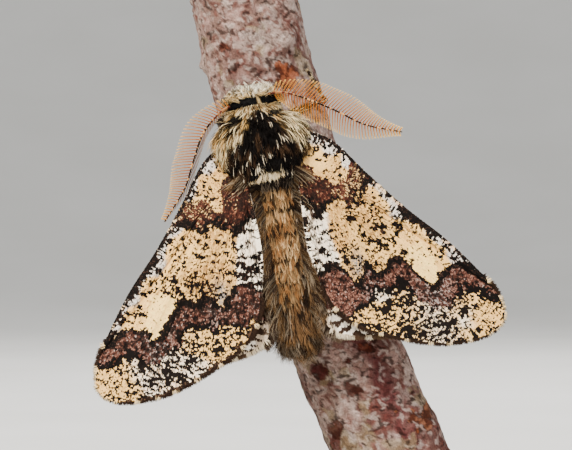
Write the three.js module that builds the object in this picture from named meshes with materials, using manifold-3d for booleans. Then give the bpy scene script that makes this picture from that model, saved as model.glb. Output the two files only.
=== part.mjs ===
// A male oak beauty moth at rest on a cut length of twig, on a plain display stand.
// Millimetres, +Z up. The origin is the middle of the base's underside. The viewer looks
// along +Y at the moth's back; the moth and its twig lean as they do in life.
import * as THREE from "three";
import { mergeVertices } from "three/addons/utils/BufferGeometryUtils.js";
import Module from "manifold-3d";

const wasm = await Module();
wasm.setup();

// Driving dimensions
const GAP = 0.3; // between neighbouring pieces
const ROOM = 0.4; // added round a piece to cut its neighbours clear of it
const BODY_LEAN = 9.2; // degrees, head to the viewer's left
const MOTH_X = -4.14; // the middle of the wings' length, seen from the front
const MOTH_Z = 37.05;
const MOTH_DEPTH = 8.9; // from the twig's axis out to the moth's long axis

const BASE_RADIUS = 17;
const BASE_THICK = 4;
const BASE_CHAMFER = 0.6;
const ROD_RADIUS = 1.5;
const TWIG_FOOT_Z = 9.2;
const TWIG_RADIUS_TOP = 4.97;
const TWIG_RADIUS_FOOT = 5.39;
// The twig's axis, [x, z], from below its foot to its top
const TWIG_AXIS = [
  [9.9, 6.4],
  [6.3, 15.2],
  [1.87, 25.5],
  [-2.15, 38.4],
  [-6.5, 53.4],
  [-8.3, 62.0],
];

const WING_THICK = 0.5;
const VEIN_RISE = 0.22;
const VEIN_HALF_WIDTH = 0.28;
const WING_SLOPE = 0.23; // fall towards the tip, for each millimetre outwards
const WING_INNER_HEIGHT = 1.9;
const COSTA_DROOP = 0.45;
const RIM_STEP = 2.6;
const HINDWING_BELOW = 1.05;

const HEAD_SHIFT = -0.7; // the head is turned a little to the viewer's left
const THORAX_SHIFT = -0.45;
const ABDOMEN_SHIFT = 0.2;
const EYE_RADIUS = 0.85;
const EYE_OUT = 2.0;
const EYE_FORWARD = 11.2;
const EYE_HEIGHT = -0.5;

const LOCK_THICK = 0.6;

// Seeded random numbers from 0 to 1
function randomFrom(seed) {
  let state = seed;
  return () => {
    state = (state * 1664525 + 1013904223) % 4294967296;
    return state / 4294967296;
  };
}

const radians = THREE.MathUtils.degToRad;
const lerp = THREE.MathUtils.lerp;
const smooth = THREE.MathUtils.smoothstep;

// A closed geometry as a solid, turned face out
function solidOf(geometry) {
  const bare = new THREE.BufferGeometry();
  bare.setAttribute("position", geometry.getAttribute("position"));
  bare.setIndex(geometry.index);
  const merged = mergeVertices(bare, 1e-4);
  const triVerts = new Uint32Array(merged.index.array);
  const vertProperties = new Float32Array(merged.attributes.position.array);
  const made = () => new wasm.Manifold(new wasm.Mesh({ numProp: 3, vertProperties, triVerts }));
  if (made().volume() > 0) return made();
  for (let i = 0; i < triVerts.length; i += 3) {
    [triVerts[i + 1], triVerts[i + 2]] = [triVerts[i + 2], triVerts[i + 1]];
  }
  return made();
}

function geometryOf(solid) {
  const mesh = solid.getMesh();
  const geometry = new THREE.BufferGeometry();
  geometry.setAttribute("position", new THREE.BufferAttribute(mesh.vertProperties, 3));
  geometry.setIndex(new THREE.BufferAttribute(mesh.triVerts, 1));
  geometry.computeVertexNormals();
  return geometry;
}

function largestBody(solid) {
  const bodies = solid.decompose();
  return bodies.reduce((best, body) => (body.volume() > best.volume() ? body : best));
}

function cut(solid, ...tools) {
  return largestBody(tools.reduce((rest, tool) => rest.subtract(tool), solid));
}

function join(solids) {
  return largestBody(wasm.Manifold.union(solids));
}

// A core with its locks, which are cut clear of the rooms round the neighbours
function coated(core, locks, rooms) {
  const clear = rooms.reduce((rest, room) => rest.subtract(room), wasm.Manifold.union(locks));
  return join([core, clear]);
}

// Rings of points, each with as many, skinned and capped. Rings run so that, seen from the
// last one, each turns anticlockwise; a ring given as one point is a tip.
function loftSolid(rings) {
  const position = [];
  const index = [];
  const starts = rings.map((ring) => {
    const start = position.length / 3;
    ring.forEach((p) => position.push(p.x, p.y, p.z));
    return start;
  });
  for (let k = 0; k + 1 < rings.length; k += 1) {
    const sides = Math.max(rings[k].length, rings[k + 1].length);
    for (let i = 0; i < sides; i += 1) {
      const j = (i + 1) % sides;
      const a = starts[k] + (rings[k].length === 1 ? 0 : i);
      const b = starts[k] + (rings[k].length === 1 ? 0 : j);
      const c = starts[k + 1] + (rings[k + 1].length === 1 ? 0 : j);
      const d = starts[k + 1] + (rings[k + 1].length === 1 ? 0 : i);
      if (a !== b) index.push(a, b, c);
      if (c !== d) index.push(a, c, d);
    }
  }
  const cap = (k, flip) => {
    for (let i = 1; i + 1 < rings[k].length; i += 1) {
      const [a, b, c] = [starts[k], starts[k] + i, starts[k] + i + 1];
      index.push(...(flip ? [a, c, b] : [a, b, c]));
    }
  };
  cap(0, true);
  cap(rings.length - 1, false);
  const geometry = new THREE.BufferGeometry();
  geometry.setAttribute("position", new THREE.Float32BufferAttribute(position, 3));
  geometry.setIndex(index);
  return solidOf(geometry);
}

// A round rod along points, with a radius for each point
function rodSolid(points, radii, sides) {
  const up = new THREE.Vector3(0, 0, 1);
  const rings = points.map((point, k) => {
    const along = points[Math.min(k + 1, points.length - 1)]
      .clone()
      .sub(points[Math.max(k - 1, 0)])
      .normalize();
    const across = new THREE.Vector3().crossVectors(up, along);
    if (across.lengthSq() < 1e-3) across.set(1, 0, 0);
    across.normalize();
    const third = new THREE.Vector3().crossVectors(along, across);
    return Array.from({ length: sides }, (_, i) => {
      const turn = (i / sides) * 2 * Math.PI;
      return point
        .clone()
        .addScaledVector(across, radii[k] * Math.cos(turn))
        .addScaledVector(third, radii[k] * Math.sin(turn));
    });
  });
  return loftSolid(rings);
}

function ellipsoidSolid(centre, halves, across = 12, up = 8) {
  const ball = new THREE.SphereGeometry(1, across, up);
  ball.scale(...halves);
  ball.translate(...centre);
  return solidOf(ball);
}

// The moth's own frame: x to the viewer's right, y towards the head, z out of its back
const mothRight = new THREE.Vector3(Math.cos(radians(BODY_LEAN)), 0, Math.sin(radians(BODY_LEAN)));
const mothHead = new THREE.Vector3(-Math.sin(radians(BODY_LEAN)), 0, Math.cos(radians(BODY_LEAN)));
const mothBack = new THREE.Vector3(0, -1, 0);
const moth = new THREE.Group();
moth.quaternion.setFromRotationMatrix(
  new THREE.Matrix4().makeBasis(mothRight, mothHead, mothBack),
);
moth.position.set(MOTH_X, -MOTH_DEPTH, MOTH_Z);
moth.updateMatrix();
const intoMoth = moth.matrix.clone().invert();

// The twig
const twigAxis = new THREE.CatmullRomCurve3(TWIG_AXIS.map(([x, z]) => new THREE.Vector3(x, 0, z)));

function twigSolid(extra) {
  const steps = 14;
  const sides = 18;
  const random = randomFrom(11);
  const points = twigAxis.getSpacedPoints(steps);
  const wobble = points.map(() => 1 + (random() - 0.5) * 0.03);
  const radii = points.map(
    (_, k) => lerp(TWIG_RADIUS_FOOT, TWIG_RADIUS_TOP, k / steps) * wobble[k] + extra,
  );
  return rodSolid(points, radii, sides);
}

// Buds and scars stand out of the bark: [share of the length, degrees round from the front, size]
const TWIG_BUMPS = [
  [0.82, -88, 1.0],
  [0.86, 38, 1.7],
  [0.93, -40, 0.9],
  [0.2, 62, 1.2],
  [0.28, -28, 1.0],
  [0.5, 150, 1.5],
];

function twigBumps() {
  return TWIG_BUMPS.map(([share, turn, size]) => {
    const centre = twigAxis.getPointAt(share);
    const radius = lerp(TWIG_RADIUS_FOOT, TWIG_RADIUS_TOP, share) - size * 0.35;
    const out = new THREE.Vector3(Math.sin(radians(turn)), -Math.cos(radians(turn)), 0);
    centre.addScaledVector(out, radius);
    return ellipsoidSolid(centre.toArray(), [size, size, size * 0.75], 8, 6);
  });
}

const belowFoot = solidOf(
  new THREE.BoxGeometry(60, 60, 40).translate(0, 0, TWIG_FOOT_Z - 20),
);
const twigWhole = cut(join([twigSolid(0), ...twigBumps()]), belowFoot);
const twigRoom = twigSolid(ROOM).transform(intoMoth.toArray());

// Where the twig's axis passes the moth, sideways, at a height along the moth
const twigInMoth = twigAxis.getSpacedPoints(80).map((p) => p.clone().applyMatrix4(intoMoth));
function twigSideways(along) {
  return twigInMoth.reduce((best, p) =>
    Math.abs(p.y - along) < Math.abs(best.y - along) ? p : best,
  ).x;
}

// A place over the twig's bark, by degrees round from the twig's front
function overTwig(along, turn, lift) {
  const radius = (TWIG_RADIUS_TOP + TWIG_RADIUS_FOOT) / 2 + lift;
  return new THREE.Vector3(
    twigSideways(along) + radius * Math.sin(radians(turn)),
    along,
    -MOTH_DEPTH + radius * Math.cos(radians(turn)),
  );
}

// Body stations, head end first: [along, height, half width, rise, depth]
const HEAD = [
  [12.35, -0.4, 0.9, 0.7, 0.9],
  [11.9, -0.35, 1.75, 1.35, 1.5],
  [11.2, -0.3, 2.2, 1.75, 1.85],
  [10.4, -0.2, 2.15, 1.8, 1.85],
  [9.6, -0.1, 1.7, 1.5, 1.6],
];
const THORAX = [
  [10.2, 0.0, 1.5, 1.4, 1.5],
  [9.6, 0.1, 2.8, 2.5, 2.3],
  [8.3, 0.1, 3.9, 3.3, 2.9],
  [6.7, 0.1, 4.25, 3.6, 3.1],
  [5.0, 0.1, 3.9, 3.4, 3.0],
  [3.6, 0.1, 3.0, 2.8, 2.6],
  [2.8, 0.1, 1.9, 2.0, 1.9],
];
const ABDOMEN = [
  [3.4, 0.1, 1.9, 1.9, 1.8],
  [1.8, 0.1, 2.1, 2.0, 1.9],
  [-1.5, 0.0, 2.05, 1.9, 1.9],
  [-5.0, -0.15, 2.0, 1.8, 1.8],
  [-8.5, -0.35, 1.8, 1.6, 1.7],
  [-11.0, -0.5, 1.35, 1.2, 1.3],
  [-12.0, -0.55, 0.7, 0.7, 0.7],
];

function stationAt(stations, along) {
  const last = stations.length - 1;
  if (along >= stations[0][0]) return stations[0];
  if (along <= stations[last][0]) return stations[last];
  const k = stations.findIndex((s) => s[0] <= along);
  const share = (stations[k - 1][0] - along) / (stations[k - 1][0] - stations[k][0]);
  return stations[k].map((value, i) => lerp(stations[k - 1][i], value, share));
}

// A place on a body's surface, by degrees round from its back
function onBody(stations, shift, along, turn) {
  const [, height, half, rise, depth] = stationAt(stations, along);
  const c = Math.cos(radians(turn));
  return new THREE.Vector3(
    shift + half * Math.sin(radians(turn)),
    along,
    height + (c > 0 ? rise : depth) * c,
  );
}

function outOfBody(stations, shift, along, turn) {
  const step = 0.2;
  const lengthwise = onBody(stations, shift, along - step, turn).sub(
    onBody(stations, shift, along + step, turn),
  );
  const around = onBody(stations, shift, along, turn + 4).sub(
    onBody(stations, shift, along, turn - 4),
  );
  return new THREE.Vector3().crossVectors(around, lengthwise).normalize();
}

function bodySolid(stations, shift, grow = 0, sides = 18) {
  const last = stations.length - 1;
  const rings = stations.map(([along, height, half, rise, depth], k) => {
    const end = k === 0 ? grow : k === last ? -grow : 0;
    return Array.from({ length: sides }, (_, i) => {
      const turn = (i / sides) * 2 * Math.PI;
      const c = Math.cos(turn);
      return new THREE.Vector3(
        shift + (half + grow) * Math.sin(turn),
        along + end,
        height + ((c > 0 ? rise : depth) + grow) * c,
      );
    });
  });
  return loftSolid(rings);
}

// A flat lock with a ridge: it leaves the surface, bends over and tapers along its lie
function lockSolid(root, out, lie, length, width, lift) {
  const across = new THREE.Vector3().crossVectors(lie, out).normalize();
  const sections = [
    [-0.05, -0.9, 0.75],
    [0.3, 0.55, 1],
    [0.68, 0.8, 0.7],
  ];
  const rings = sections.map(([share, rise, wide]) => {
    const centre = root
      .clone()
      .addScaledVector(lie, share * length)
      .addScaledVector(out, rise * lift);
    const half = (width * wide) / 2;
    return [
      centre.clone().addScaledVector(across, half),
      centre.clone().addScaledVector(out, LOCK_THICK),
      centre.clone().addScaledVector(across, -half),
    ];
  });
  const tip = root.clone().addScaledVector(lie, length).addScaledVector(out, 0.7 * lift);
  return loftSolid([...rings, [tip]]);
}

// Rows of locks on a body: each row has a place along it, the turns that it spans, how many
// locks, their length and width, how far they stand out, and how far their lie fans outwards.
// They lie forwards or backwards along the body.
const FORWARDS = 1;
const BACKWARDS = -1;
function lockRows(stations, shift, rows, forwards, seed) {
  const random = randomFrom(seed);
  const locks = [];
  rows.forEach((row) => {
    for (let k = 0; k < row.count; k += 1) {
      const share = row.count > 1 ? k / (row.count - 1) : 0.5;
      const turn = lerp(row.from, row.to, share) + (random() - 0.5) * row.scatter;
      const along = row.along + (random() - 0.5) * 0.35;
      const root = onBody(stations, shift, along, turn);
      const out = outOfBody(stations, shift, along, turn);
      const lie = new THREE.Vector3(
        row.fan * Math.sin(radians(turn)),
        forwards,
        row.fan * 0.4 * Math.cos(radians(turn)),
      );
      lie.addScaledVector(out, -lie.dot(out)).normalize();
      const length = row.length * (0.85 + 0.3 * random());
      locks.push(lockSolid(root, out, lie, length, row.width, row.lift));
    }
  });
  return locks;
}

const THORAX_ROWS = [
  { along: 9.5, from: -78, to: 78, count: 7, scatter: 5, length: 2.0, width: 1.45, lift: 0.85, fan: 0.8 },
  { along: 8.6, from: -94, to: 90, count: 10, scatter: 6, length: 2.4, width: 1.5, lift: 1.05, fan: 0.7 },
  { along: 7.4, from: -98, to: 95, count: 10, scatter: 6, length: 2.6, width: 1.55, lift: 1.1, fan: 0.5 },
  { along: 6.1, from: -100, to: 98, count: 10, scatter: 6, length: 2.7, width: 1.5, lift: 1.05, fan: 0.25 },
  { along: 4.8, from: -84, to: 84, count: 8, scatter: 6, length: 2.4, width: 1.4, lift: 0.9, fan: 0 },
  { along: 3.7, from: -42, to: 42, count: 4, scatter: 5, length: 1.6, width: 1.3, lift: 0.8, fan: -0.1 },
  { along: 8.6, from: 135, to: 225, count: 4, scatter: 4, length: 1.8, width: 1.3, lift: 0.45, fan: 0 },
];
const HEAD_ROWS = [
  { along: 10.8, from: -70, to: 70, count: 6, scatter: 6, length: 1.8, width: 1.2, lift: 0.7, fan: 0.6 },
  { along: 11.6, from: -98, to: 98, count: 7, scatter: 6, length: 1.7, width: 1.1, lift: 0.55, fan: 0.5 },
  { along: 12.0, from: -150, to: 150, count: 6, scatter: 6, length: 1.2, width: 1.0, lift: 0.45, fan: 0.4 },
];
const ABDOMEN_ROWS = [
  { along: 2.3, from: -50, to: 50, count: 5, scatter: 4, length: 1.8, width: 1.3, lift: 0.5, fan: 0 },
  { along: -0.3, from: -42, to: 42, count: 4, scatter: 4, length: 1.9, width: 1.3, lift: 0.5, fan: 0 },
  { along: -2.8, from: -42, to: 42, count: 4, scatter: 4, length: 1.9, width: 1.3, lift: 0.5, fan: 0 },
  { along: -5.2, from: -44, to: 44, count: 4, scatter: 4, length: 1.9, width: 1.3, lift: 0.5, fan: 0 },
  { along: -7.4, from: -70, to: 70, count: 6, scatter: 4, length: 2.1, width: 1.3, lift: 0.6, fan: 0.25 },
  { along: -9.4, from: -110, to: 110, count: 8, scatter: 5, length: 2.6, width: 1.3, lift: 0.7, fan: 0.5 },
  { along: -10.9, from: -160, to: 160, count: 8, scatter: 5, length: 2.5, width: 1.2, lift: 0.6, fan: 0.3 },
];

// Wings, in the moth's frame for the right-hand one; the left-hand one mirrors it
const FOREWING = {
  root: [
    [2.6, 7.3],
    [2.6, 3.9],
  ],
  costa: [
    [2.8, 7.9],
    [5.8, 6.35],
    [8.4, 3.0],
    [10.3, 0.6],
    [12.1, -1.55],
    [14.5, -4.1],
    [16.5, -6.65],
    [18.0, -8.9],
    [18.95, -10.8],
    [19.35, -12.4],
  ],
  termen: [
    [18.95, -13.6],
    [17.5, -14.35],
    [15.7, -14.5],
    [13.6, -14.4],
    [11.6, -13.9],
    [9.7, -13.2],
    [8.1, -12.5],
    [6.6, -11.8],
    [5.3, -10.9],
  ],
  dorsum: [
    [4.2, -9.8],
    [3.1, -7.6],
    [2.7, -5.8],
    [2.2, -3.6],
    [2.15, -1.0],
    [2.3, 1.6],
    [2.5, 3.4],
  ],
  // Share of the rim from the costa's foot, and the share of the length where the vein starts
  veins: [
    [0.4, 0],
    [0.465, 0],
    [0.505, 0.42],
    [0.54, 0.42],
    [0.575, 0.42],
    [0.605, 0.42],
    [0.645, 0.42],
    [0.69, 0.42],
    [0.735, 0],
    [0.775, 0.3],
    [0.825, 0],
  ],
  cell: [2, 8],
  rows: [0, 0.22, 0.42, 0.46, 0.5, 0.75, 1],
};
const HINDWING = {
  root: [
    [2.7, 4.0],
    [2.45, 2.2],
  ],
  costa: [
    [3.0, 4.4],
    [5.6, 1.6],
    [8.3, -1.8],
    [10.8, -5.2],
    [12.6, -8.4],
    [13.3, -10.4],
  ],
  termen: [
    [12.9, -11.9],
    [11.3, -12.6],
    [9.2, -12.7],
    [7.0, -12.4],
    [5.2, -12.1],
    [3.6, -11.6],
  ],
  dorsum: [
    [2.75, -10.4],
    [2.55, -7.5],
    [2.4, -4.0],
    [2.35, -1.0],
    [2.4, 1.6],
  ],
  veins: [
    [0.42, 0],
    [0.5, 0.4],
    [0.57, 0.4],
    [0.64, 0],
    [0.7, 0.3],
    [0.77, 0],
  ],
  cell: [1, 3],
  rows: [0, 0.2, 0.38, 0.43, 0.48, 0.75, 1],
};

// The wing's middle surface: it falls outwards, and its leading edge curls down
function wingHeight(x, y, below) {
  const costaLine = 10.6 - 1.19 * x;
  const fromCosta = Math.max(0, (costaLine - y) / 1.55);
  const curl = COSTA_DROOP * Math.exp(-((fromCosta / 1.3) ** 2));
  const outwards = Math.max(0, Math.abs(x) - 2.3);
  return WING_INNER_HEIGHT - WING_SLOPE * outwards - curl - below;
}

// A wing as a fan of columns from its root to its rim, alike on both faces. Each vein is a
// raised column between two feet, and the cell's end is a raised row.
function wingSolid(shape, side, below, sweep, grow = 0) {
  const rim = [...shape.costa, ...shape.termen, ...shape.dorsum];
  const outline = new THREE.CatmullRomCurve3(rim.map(([x, y]) => new THREE.Vector3(x, y, 0)));
  const rimLength = outline.getLength();
  const foot = VEIN_HALF_WIDTH / rimLength;
  const columns = [{ share: 0, starts: 2 }];
  let before = 0;
  shape.veins.forEach(([share, starts], v) => {
    const wide = (share - foot - before) * rimLength;
    const extra = Math.floor(wide / RIM_STEP);
    for (let k = 1; k <= extra; k += 1) {
      columns.push({ share: lerp(before, share - foot, k / (extra + 1)), starts: 2 });
    }
    columns.push({ share: share - foot, starts: 2 });
    columns.push({ share, starts, vein: v });
    columns.push({ share: share + foot, starts: 2 });
    before = share + foot;
  });
  const spare = Math.floor(((1 - before) * rimLength) / RIM_STEP);
  for (let k = 1; k <= spare; k += 1) {
    columns.push({ share: lerp(before, 1, k / (spare + 1)), starts: 2 });
  }
  columns.push({ share: 1, starts: 2 });

  const [rootA, rootB] = shape.root;
  const turn = radians(sweep);
  const pivot = [rootA[0], (rootA[1] + rootB[1]) / 2];
  const cellRow = shape.rows[3];
  const top = [];
  const bottom = [];
  columns.forEach((column, i) => {
    const across = i / (columns.length - 1);
    const end = outline.getPointAt(column.share);
    const run = outline.getTangentAt(column.share);
    const edge = i === 0 || i === columns.length - 1;
    const start = [lerp(rootA[0], rootB[0], across), lerp(rootA[1], rootB[1], across)];
    const inCell = column.vein >= shape.cell[0] && column.vein <= shape.cell[1];
    const between =
      column.share > shape.veins[shape.cell[0]][0] && column.share < shape.veins[shape.cell[1]][0];
    shape.rows.forEach((row) => {
      const beyond = row === 1 || edge ? grow : 0;
      const inwards = row === 0 ? grow : 0;
      const dx = lerp(start[0], end.x, row) - run.y * beyond - inwards - pivot[0];
      const dy = lerp(start[1], end.y, row) + run.x * beyond - pivot[1];
      const px = pivot[0] + dx * Math.cos(turn) + dy * Math.sin(turn);
      const py = pivot[1] - dx * Math.sin(turn) + dy * Math.cos(turn);
      const height = wingHeight(px, py, below);
      const raised = row >= column.starts ? 1 : 0;
      const closes = row === cellRow && (between || inCell) ? 1 : 0;
      const rise = VEIN_RISE * Math.max(raised, closes);
      top.push(new THREE.Vector3(side * px, py, height + WING_THICK / 2 + rise + grow));
      bottom.push(new THREE.Vector3(side * px, py, height - WING_THICK / 2 - grow));
    });
  });

  const position = [...top, ...bottom].flatMap((p) => p.toArray());
  const index = [];
  const rows = shape.rows.length;
  const count = columns.length;
  const lower = top.length;
  const face = (a, b, c) => index.push(...(side > 0 ? [a, b, c] : [a, c, b]));
  for (let i = 0; i + 1 < count; i += 1) {
    for (let j = 0; j + 1 < rows; j += 1) {
      const [a, b] = [i * rows + j, i * rows + j + 1];
      const [c, d] = [a + rows, b + rows];
      face(a, d, b);
      face(a, c, d);
      face(lower + a, lower + b, lower + d);
      face(lower + a, lower + d, lower + c);
    }
  }
  const rimLoop = [];
  for (let j = 0; j < rows; j += 1) rimLoop.push(j);
  for (let i = 1; i < count; i += 1) rimLoop.push(i * rows + rows - 1);
  for (let j = rows - 2; j >= 0; j -= 1) rimLoop.push((count - 1) * rows + j);
  for (let i = count - 2; i > 0; i -= 1) rimLoop.push(i * rows);
  rimLoop.forEach((a, k) => {
    const b = rimLoop[(k + 1) % rimLoop.length];
    face(a, b, lower + b);
    face(a, lower + b, lower + a);
  });
  const geometry = new THREE.BufferGeometry();
  geometry.setAttribute("position", new THREE.Float32BufferAttribute(position, 3));
  geometry.setIndex(index);
  return solidOf(geometry);
}

// Feelers: a shaft with a comb of rays on both sides. Points run from the head to the tip.
const ANTENNA_RAYS = 13;
const RAY_LENGTH = 1.85;
const ANTENNA_RADIUS = 0.26;
const ANTENNA_LEFT = [
  [-2.3, 10.9, 0.7],
  [-3.6, 10.6, 0.75],
  [-5.6, 8.9, 0.3],
  [-7.0, 6.4, -0.45],
  [-8.2, 4.1, -0.95],
  [-10.5, 1.45, -1.6],
];
const ANTENNA_RIGHT = [
  [0.8, 11.5, 0.7],
  [2.2, 11.4, 0.9],
  [4.2, 10.5, 1.0],
  [6.7, 9.0, 0.7],
  [9.2, 7.3, 0.3],
  [12.45, 6.1, -0.1],
];
// Ray length by the share of the shaft
function rayLength(share) {
  return RAY_LENGTH * smooth(share, -0.2, 0.3) * (1 - 0.8 * smooth(share, 0.5, 1.05));
}

function antennaSolid(points, outerTilt, innerTilt, grow = 0) {
  const curve = new THREE.CatmullRomCurve3(points.map((p) => new THREE.Vector3(...p)));
  const steps = 12;
  const spine = curve.getSpacedPoints(steps);
  const radii = spine.map((_, k) => ANTENNA_RADIUS * lerp(1.1, 0.75, k / steps) + grow);
  const solids = [rodSolid(spine, radii, 6)];
  const back = new THREE.Vector3(0, 0, 1);
  for (let k = 0; k < ANTENNA_RAYS; k += 1) {
    const share = lerp(0.12, 0.96, k / (ANTENNA_RAYS - 1));
    const root = curve.getPointAt(share);
    const along = curve.getTangentAt(share);
    [
      [1, outerTilt],
      [-1, innerTilt],
    ].forEach(([hand, tilt]) => {
      const across = new THREE.Vector3().crossVectors(back, along).normalize();
      across.multiplyScalar(hand * Math.cos(radians(tilt)));
      across.addScaledVector(back, -Math.sin(radians(tilt)));
      const lie = across.addScaledVector(along, 0.6).normalize();
      const length = rayLength(share) * (hand > 0 ? 1 : 0.95);
      const end = root.clone().addScaledVector(lie, length + grow);
      const start = root.clone().addScaledVector(lie, 0.05);
      const sides = grow ? 6 : 3;
      solids.push(rodSolid([start, end], [0.28 + grow, 0.14 + grow], sides));
    });
  }
  return join(solids);
}

// Legs: where each leaves the thorax, its knee, and the two ends of the foot, which lies over
// the bark, as [along the moth, degrees round the twig]
const LEG_LIFT = 0.68;
const LEGS = [
  {
    name: "leg_fore_left",
    side: -1,
    root: 8.7,
    knee: [-4.0, 9.9, -2.9],
    ankle: [9.3, -58],
    toe: [11.9, -47],
  },
  {
    name: "leg_fore_right",
    side: 1,
    root: 8.7,
    knee: [4.2, 9.9, -2.9],
    ankle: [10.3, 58],
    toe: [13.4, 47],
  },
  {
    name: "leg_mid_left",
    side: -1,
    root: 6.5,
    knee: [-5.6, 5.9, -3.3],
    ankle: [4.9, -78],
    toe: [1.6, -66],
  },
  {
    name: "leg_mid_right",
    side: 1,
    root: 6.5,
    knee: [5.8, 5.9, -3.0],
    ankle: [4.9, 66],
    toe: [1.6, 58],
  },
  {
    name: "leg_hind_left",
    side: -1,
    root: 4.5,
    knee: [-4.6, 0.4, -3.7],
    ankle: [-3.2, -84],
    toe: [-7.4, -76],
  },
  {
    name: "leg_hind_right",
    side: 1,
    root: 4.5,
    knee: [4.8, 0.4, -3.1],
    ankle: [-3.2, 52],
    toe: [-7.4, 50],
  },
];

function legSolid(leg, grow = 0) {
  const root = new THREE.Vector3(leg.side * 1.0 + THORAX_SHIFT, leg.root, -1.8);
  const knee = new THREE.Vector3(...leg.knee);
  const ankle = overTwig(leg.ankle[0], leg.ankle[1], LEG_LIFT + 0.15);
  const toe = overTwig(leg.toe[0], leg.toe[1], LEG_LIFT);
  const hip = root.clone().lerp(knee, 0.3);
  hip.z -= 0.75;
  const thigh = hip.clone().lerp(knee, 0.5);
  const shin = knee.clone().lerp(ankle, 0.5);
  const bends = [root, hip, thigh, knee, shin, ankle];
  const radii = [0.55, 0.55, 0.5, 0.34, 0.36, 0.3];
  const joints = 5;
  for (let k = 1; k <= joints; k += 1) {
    const share = k / joints;
    const turn = lerp(leg.ankle[1], leg.toe[1], share);
    const along = lerp(leg.ankle[0], leg.toe[0], share);
    bends.push(overTwig(along, turn, LEG_LIFT - 0.02 * k));
    radii.push(k % 2 ? 0.27 : 0.24);
  }
  return rodSolid(
    bends,
    radii.map((radius) => radius + grow),
    8,
  );
}

// Solids, each cut clear of what it meets
const headCore = bodySolid(HEAD, HEAD_SHIFT);
const headRoom = bodySolid(HEAD, HEAD_SHIFT, ROOM);
const thoraxCore = bodySolid(THORAX, THORAX_SHIFT);
const thoraxRoom = bodySolid(THORAX, THORAX_SHIFT, ROOM);
const abdomenCore = bodySolid(ABDOMEN, ABDOMEN_SHIFT);
const abdomenRoom = bodySolid(ABDOMEN, ABDOMEN_SHIFT, ROOM);

const SWEEP = { left: 0.5, right: -0.5 };
const wings = {};
const wingRooms = [];
[
  ["left", -1],
  ["right", 1],
].forEach(([hand, side]) => {
  const sweep = SWEEP[hand];
  wings[`forewing_${hand}`] = wingSolid(FOREWING, side, 0, sweep);
  wings[`hindwing_${hand}`] = wingSolid(HINDWING, side, HINDWING_BELOW, sweep);
  wingRooms.push(wingSolid(FOREWING, side, 0, sweep, ROOM));
  wingRooms.push(wingSolid(HINDWING, side, HINDWING_BELOW, sweep, ROOM));
});

const antennae = {
  antenna_left: antennaSolid(ANTENNA_LEFT, 55, 5),
  antenna_right: antennaSolid(ANTENNA_RIGHT, 5, 5),
};
const antennaRooms = [
  antennaSolid(ANTENNA_LEFT, 55, 5, ROOM),
  antennaSolid(ANTENNA_RIGHT, 5, 5, ROOM),
];

const eyeCentres = [-1, 1].map((side) => [HEAD_SHIFT + side * EYE_OUT, EYE_FORWARD, EYE_HEIGHT]);
const eyes = eyeCentres.map((c) => ellipsoidSolid(c, [EYE_RADIUS, EYE_RADIUS, EYE_RADIUS], 12, 8));
const eyeRooms = eyeCentres.map((c) => {
  const room = EYE_RADIUS + ROOM;
  return ellipsoidSolid(c, [room, room, room], 12, 8);
});

const legSolids = LEGS.map((leg) => legSolid(leg));
const legRooms = LEGS.map((leg) => legSolid(leg, ROOM));

const group = new THREE.Group();
const material = (color, roughness, metalness = 0) =>
  new THREE.MeshStandardMaterial({ color, roughness, metalness });
const looks = {
  fur: material(0x8a7c66, 0.95),
  abdomen: material(0x8f6a42, 0.95),
  forewing: material(0xcdb892, 0.85),
  hindwing: material(0xa89c8a, 0.85),
  antenna: material(0xd08a58, 0.7),
  eye: material(0x15120f, 0.2),
  leg: material(0x4a3f35, 0.9),
  bark: material(0x9a8580, 0.95),
  base: material(0x3b3734, 0.6),
  rod: material(0xb9b4ac, 0.35, 1),
};

function addMesh(parent, name, solid, look) {
  const mesh = new THREE.Mesh(geometryOf(solid), looks[look]);
  mesh.name = name;
  parent.add(mesh);
}

const rooms = [...wingRooms, ...antennaRooms, ...eyeRooms, ...legRooms, twigRoom];
const thoraxLocks = lockRows(THORAX, THORAX_SHIFT, THORAX_ROWS, BACKWARDS, 3);
const headLocks = lockRows(HEAD, HEAD_SHIFT, HEAD_ROWS, FORWARDS, 5);
const abdomenLocks = lockRows(ABDOMEN, ABDOMEN_SHIFT, ABDOMEN_ROWS, BACKWARDS, 9);
const skull = cut(headCore, thoraxRoom, ...eyeRooms);
const belly = cut(abdomenCore, thoraxRoom);
addMesh(moth, "thorax", coated(thoraxCore, thoraxLocks, [headRoom, abdomenRoom, ...rooms]), "fur");
addMesh(moth, "head", coated(skull, headLocks, [thoraxRoom, ...rooms]), "fur");
addMesh(moth, "abdomen", coated(belly, abdomenLocks, [thoraxRoom, ...rooms]), "abdomen");
Object.entries(wings).forEach(([name, solid]) => {
  addMesh(moth, name, cut(solid, thoraxRoom, abdomenRoom), name.split("_")[0]);
});
Object.entries(antennae).forEach(([name, solid]) => {
  addMesh(moth, name, cut(solid, headRoom, thoraxRoom), "antenna");
});
eyes.forEach((solid, k) => addMesh(moth, k ? "eye_right" : "eye_left", solid, "eye"));
LEGS.forEach((leg, k) => {
  addMesh(moth, leg.name, cut(legSolids[k], thoraxRoom, headRoom), "leg");
});
group.add(moth);

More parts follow.
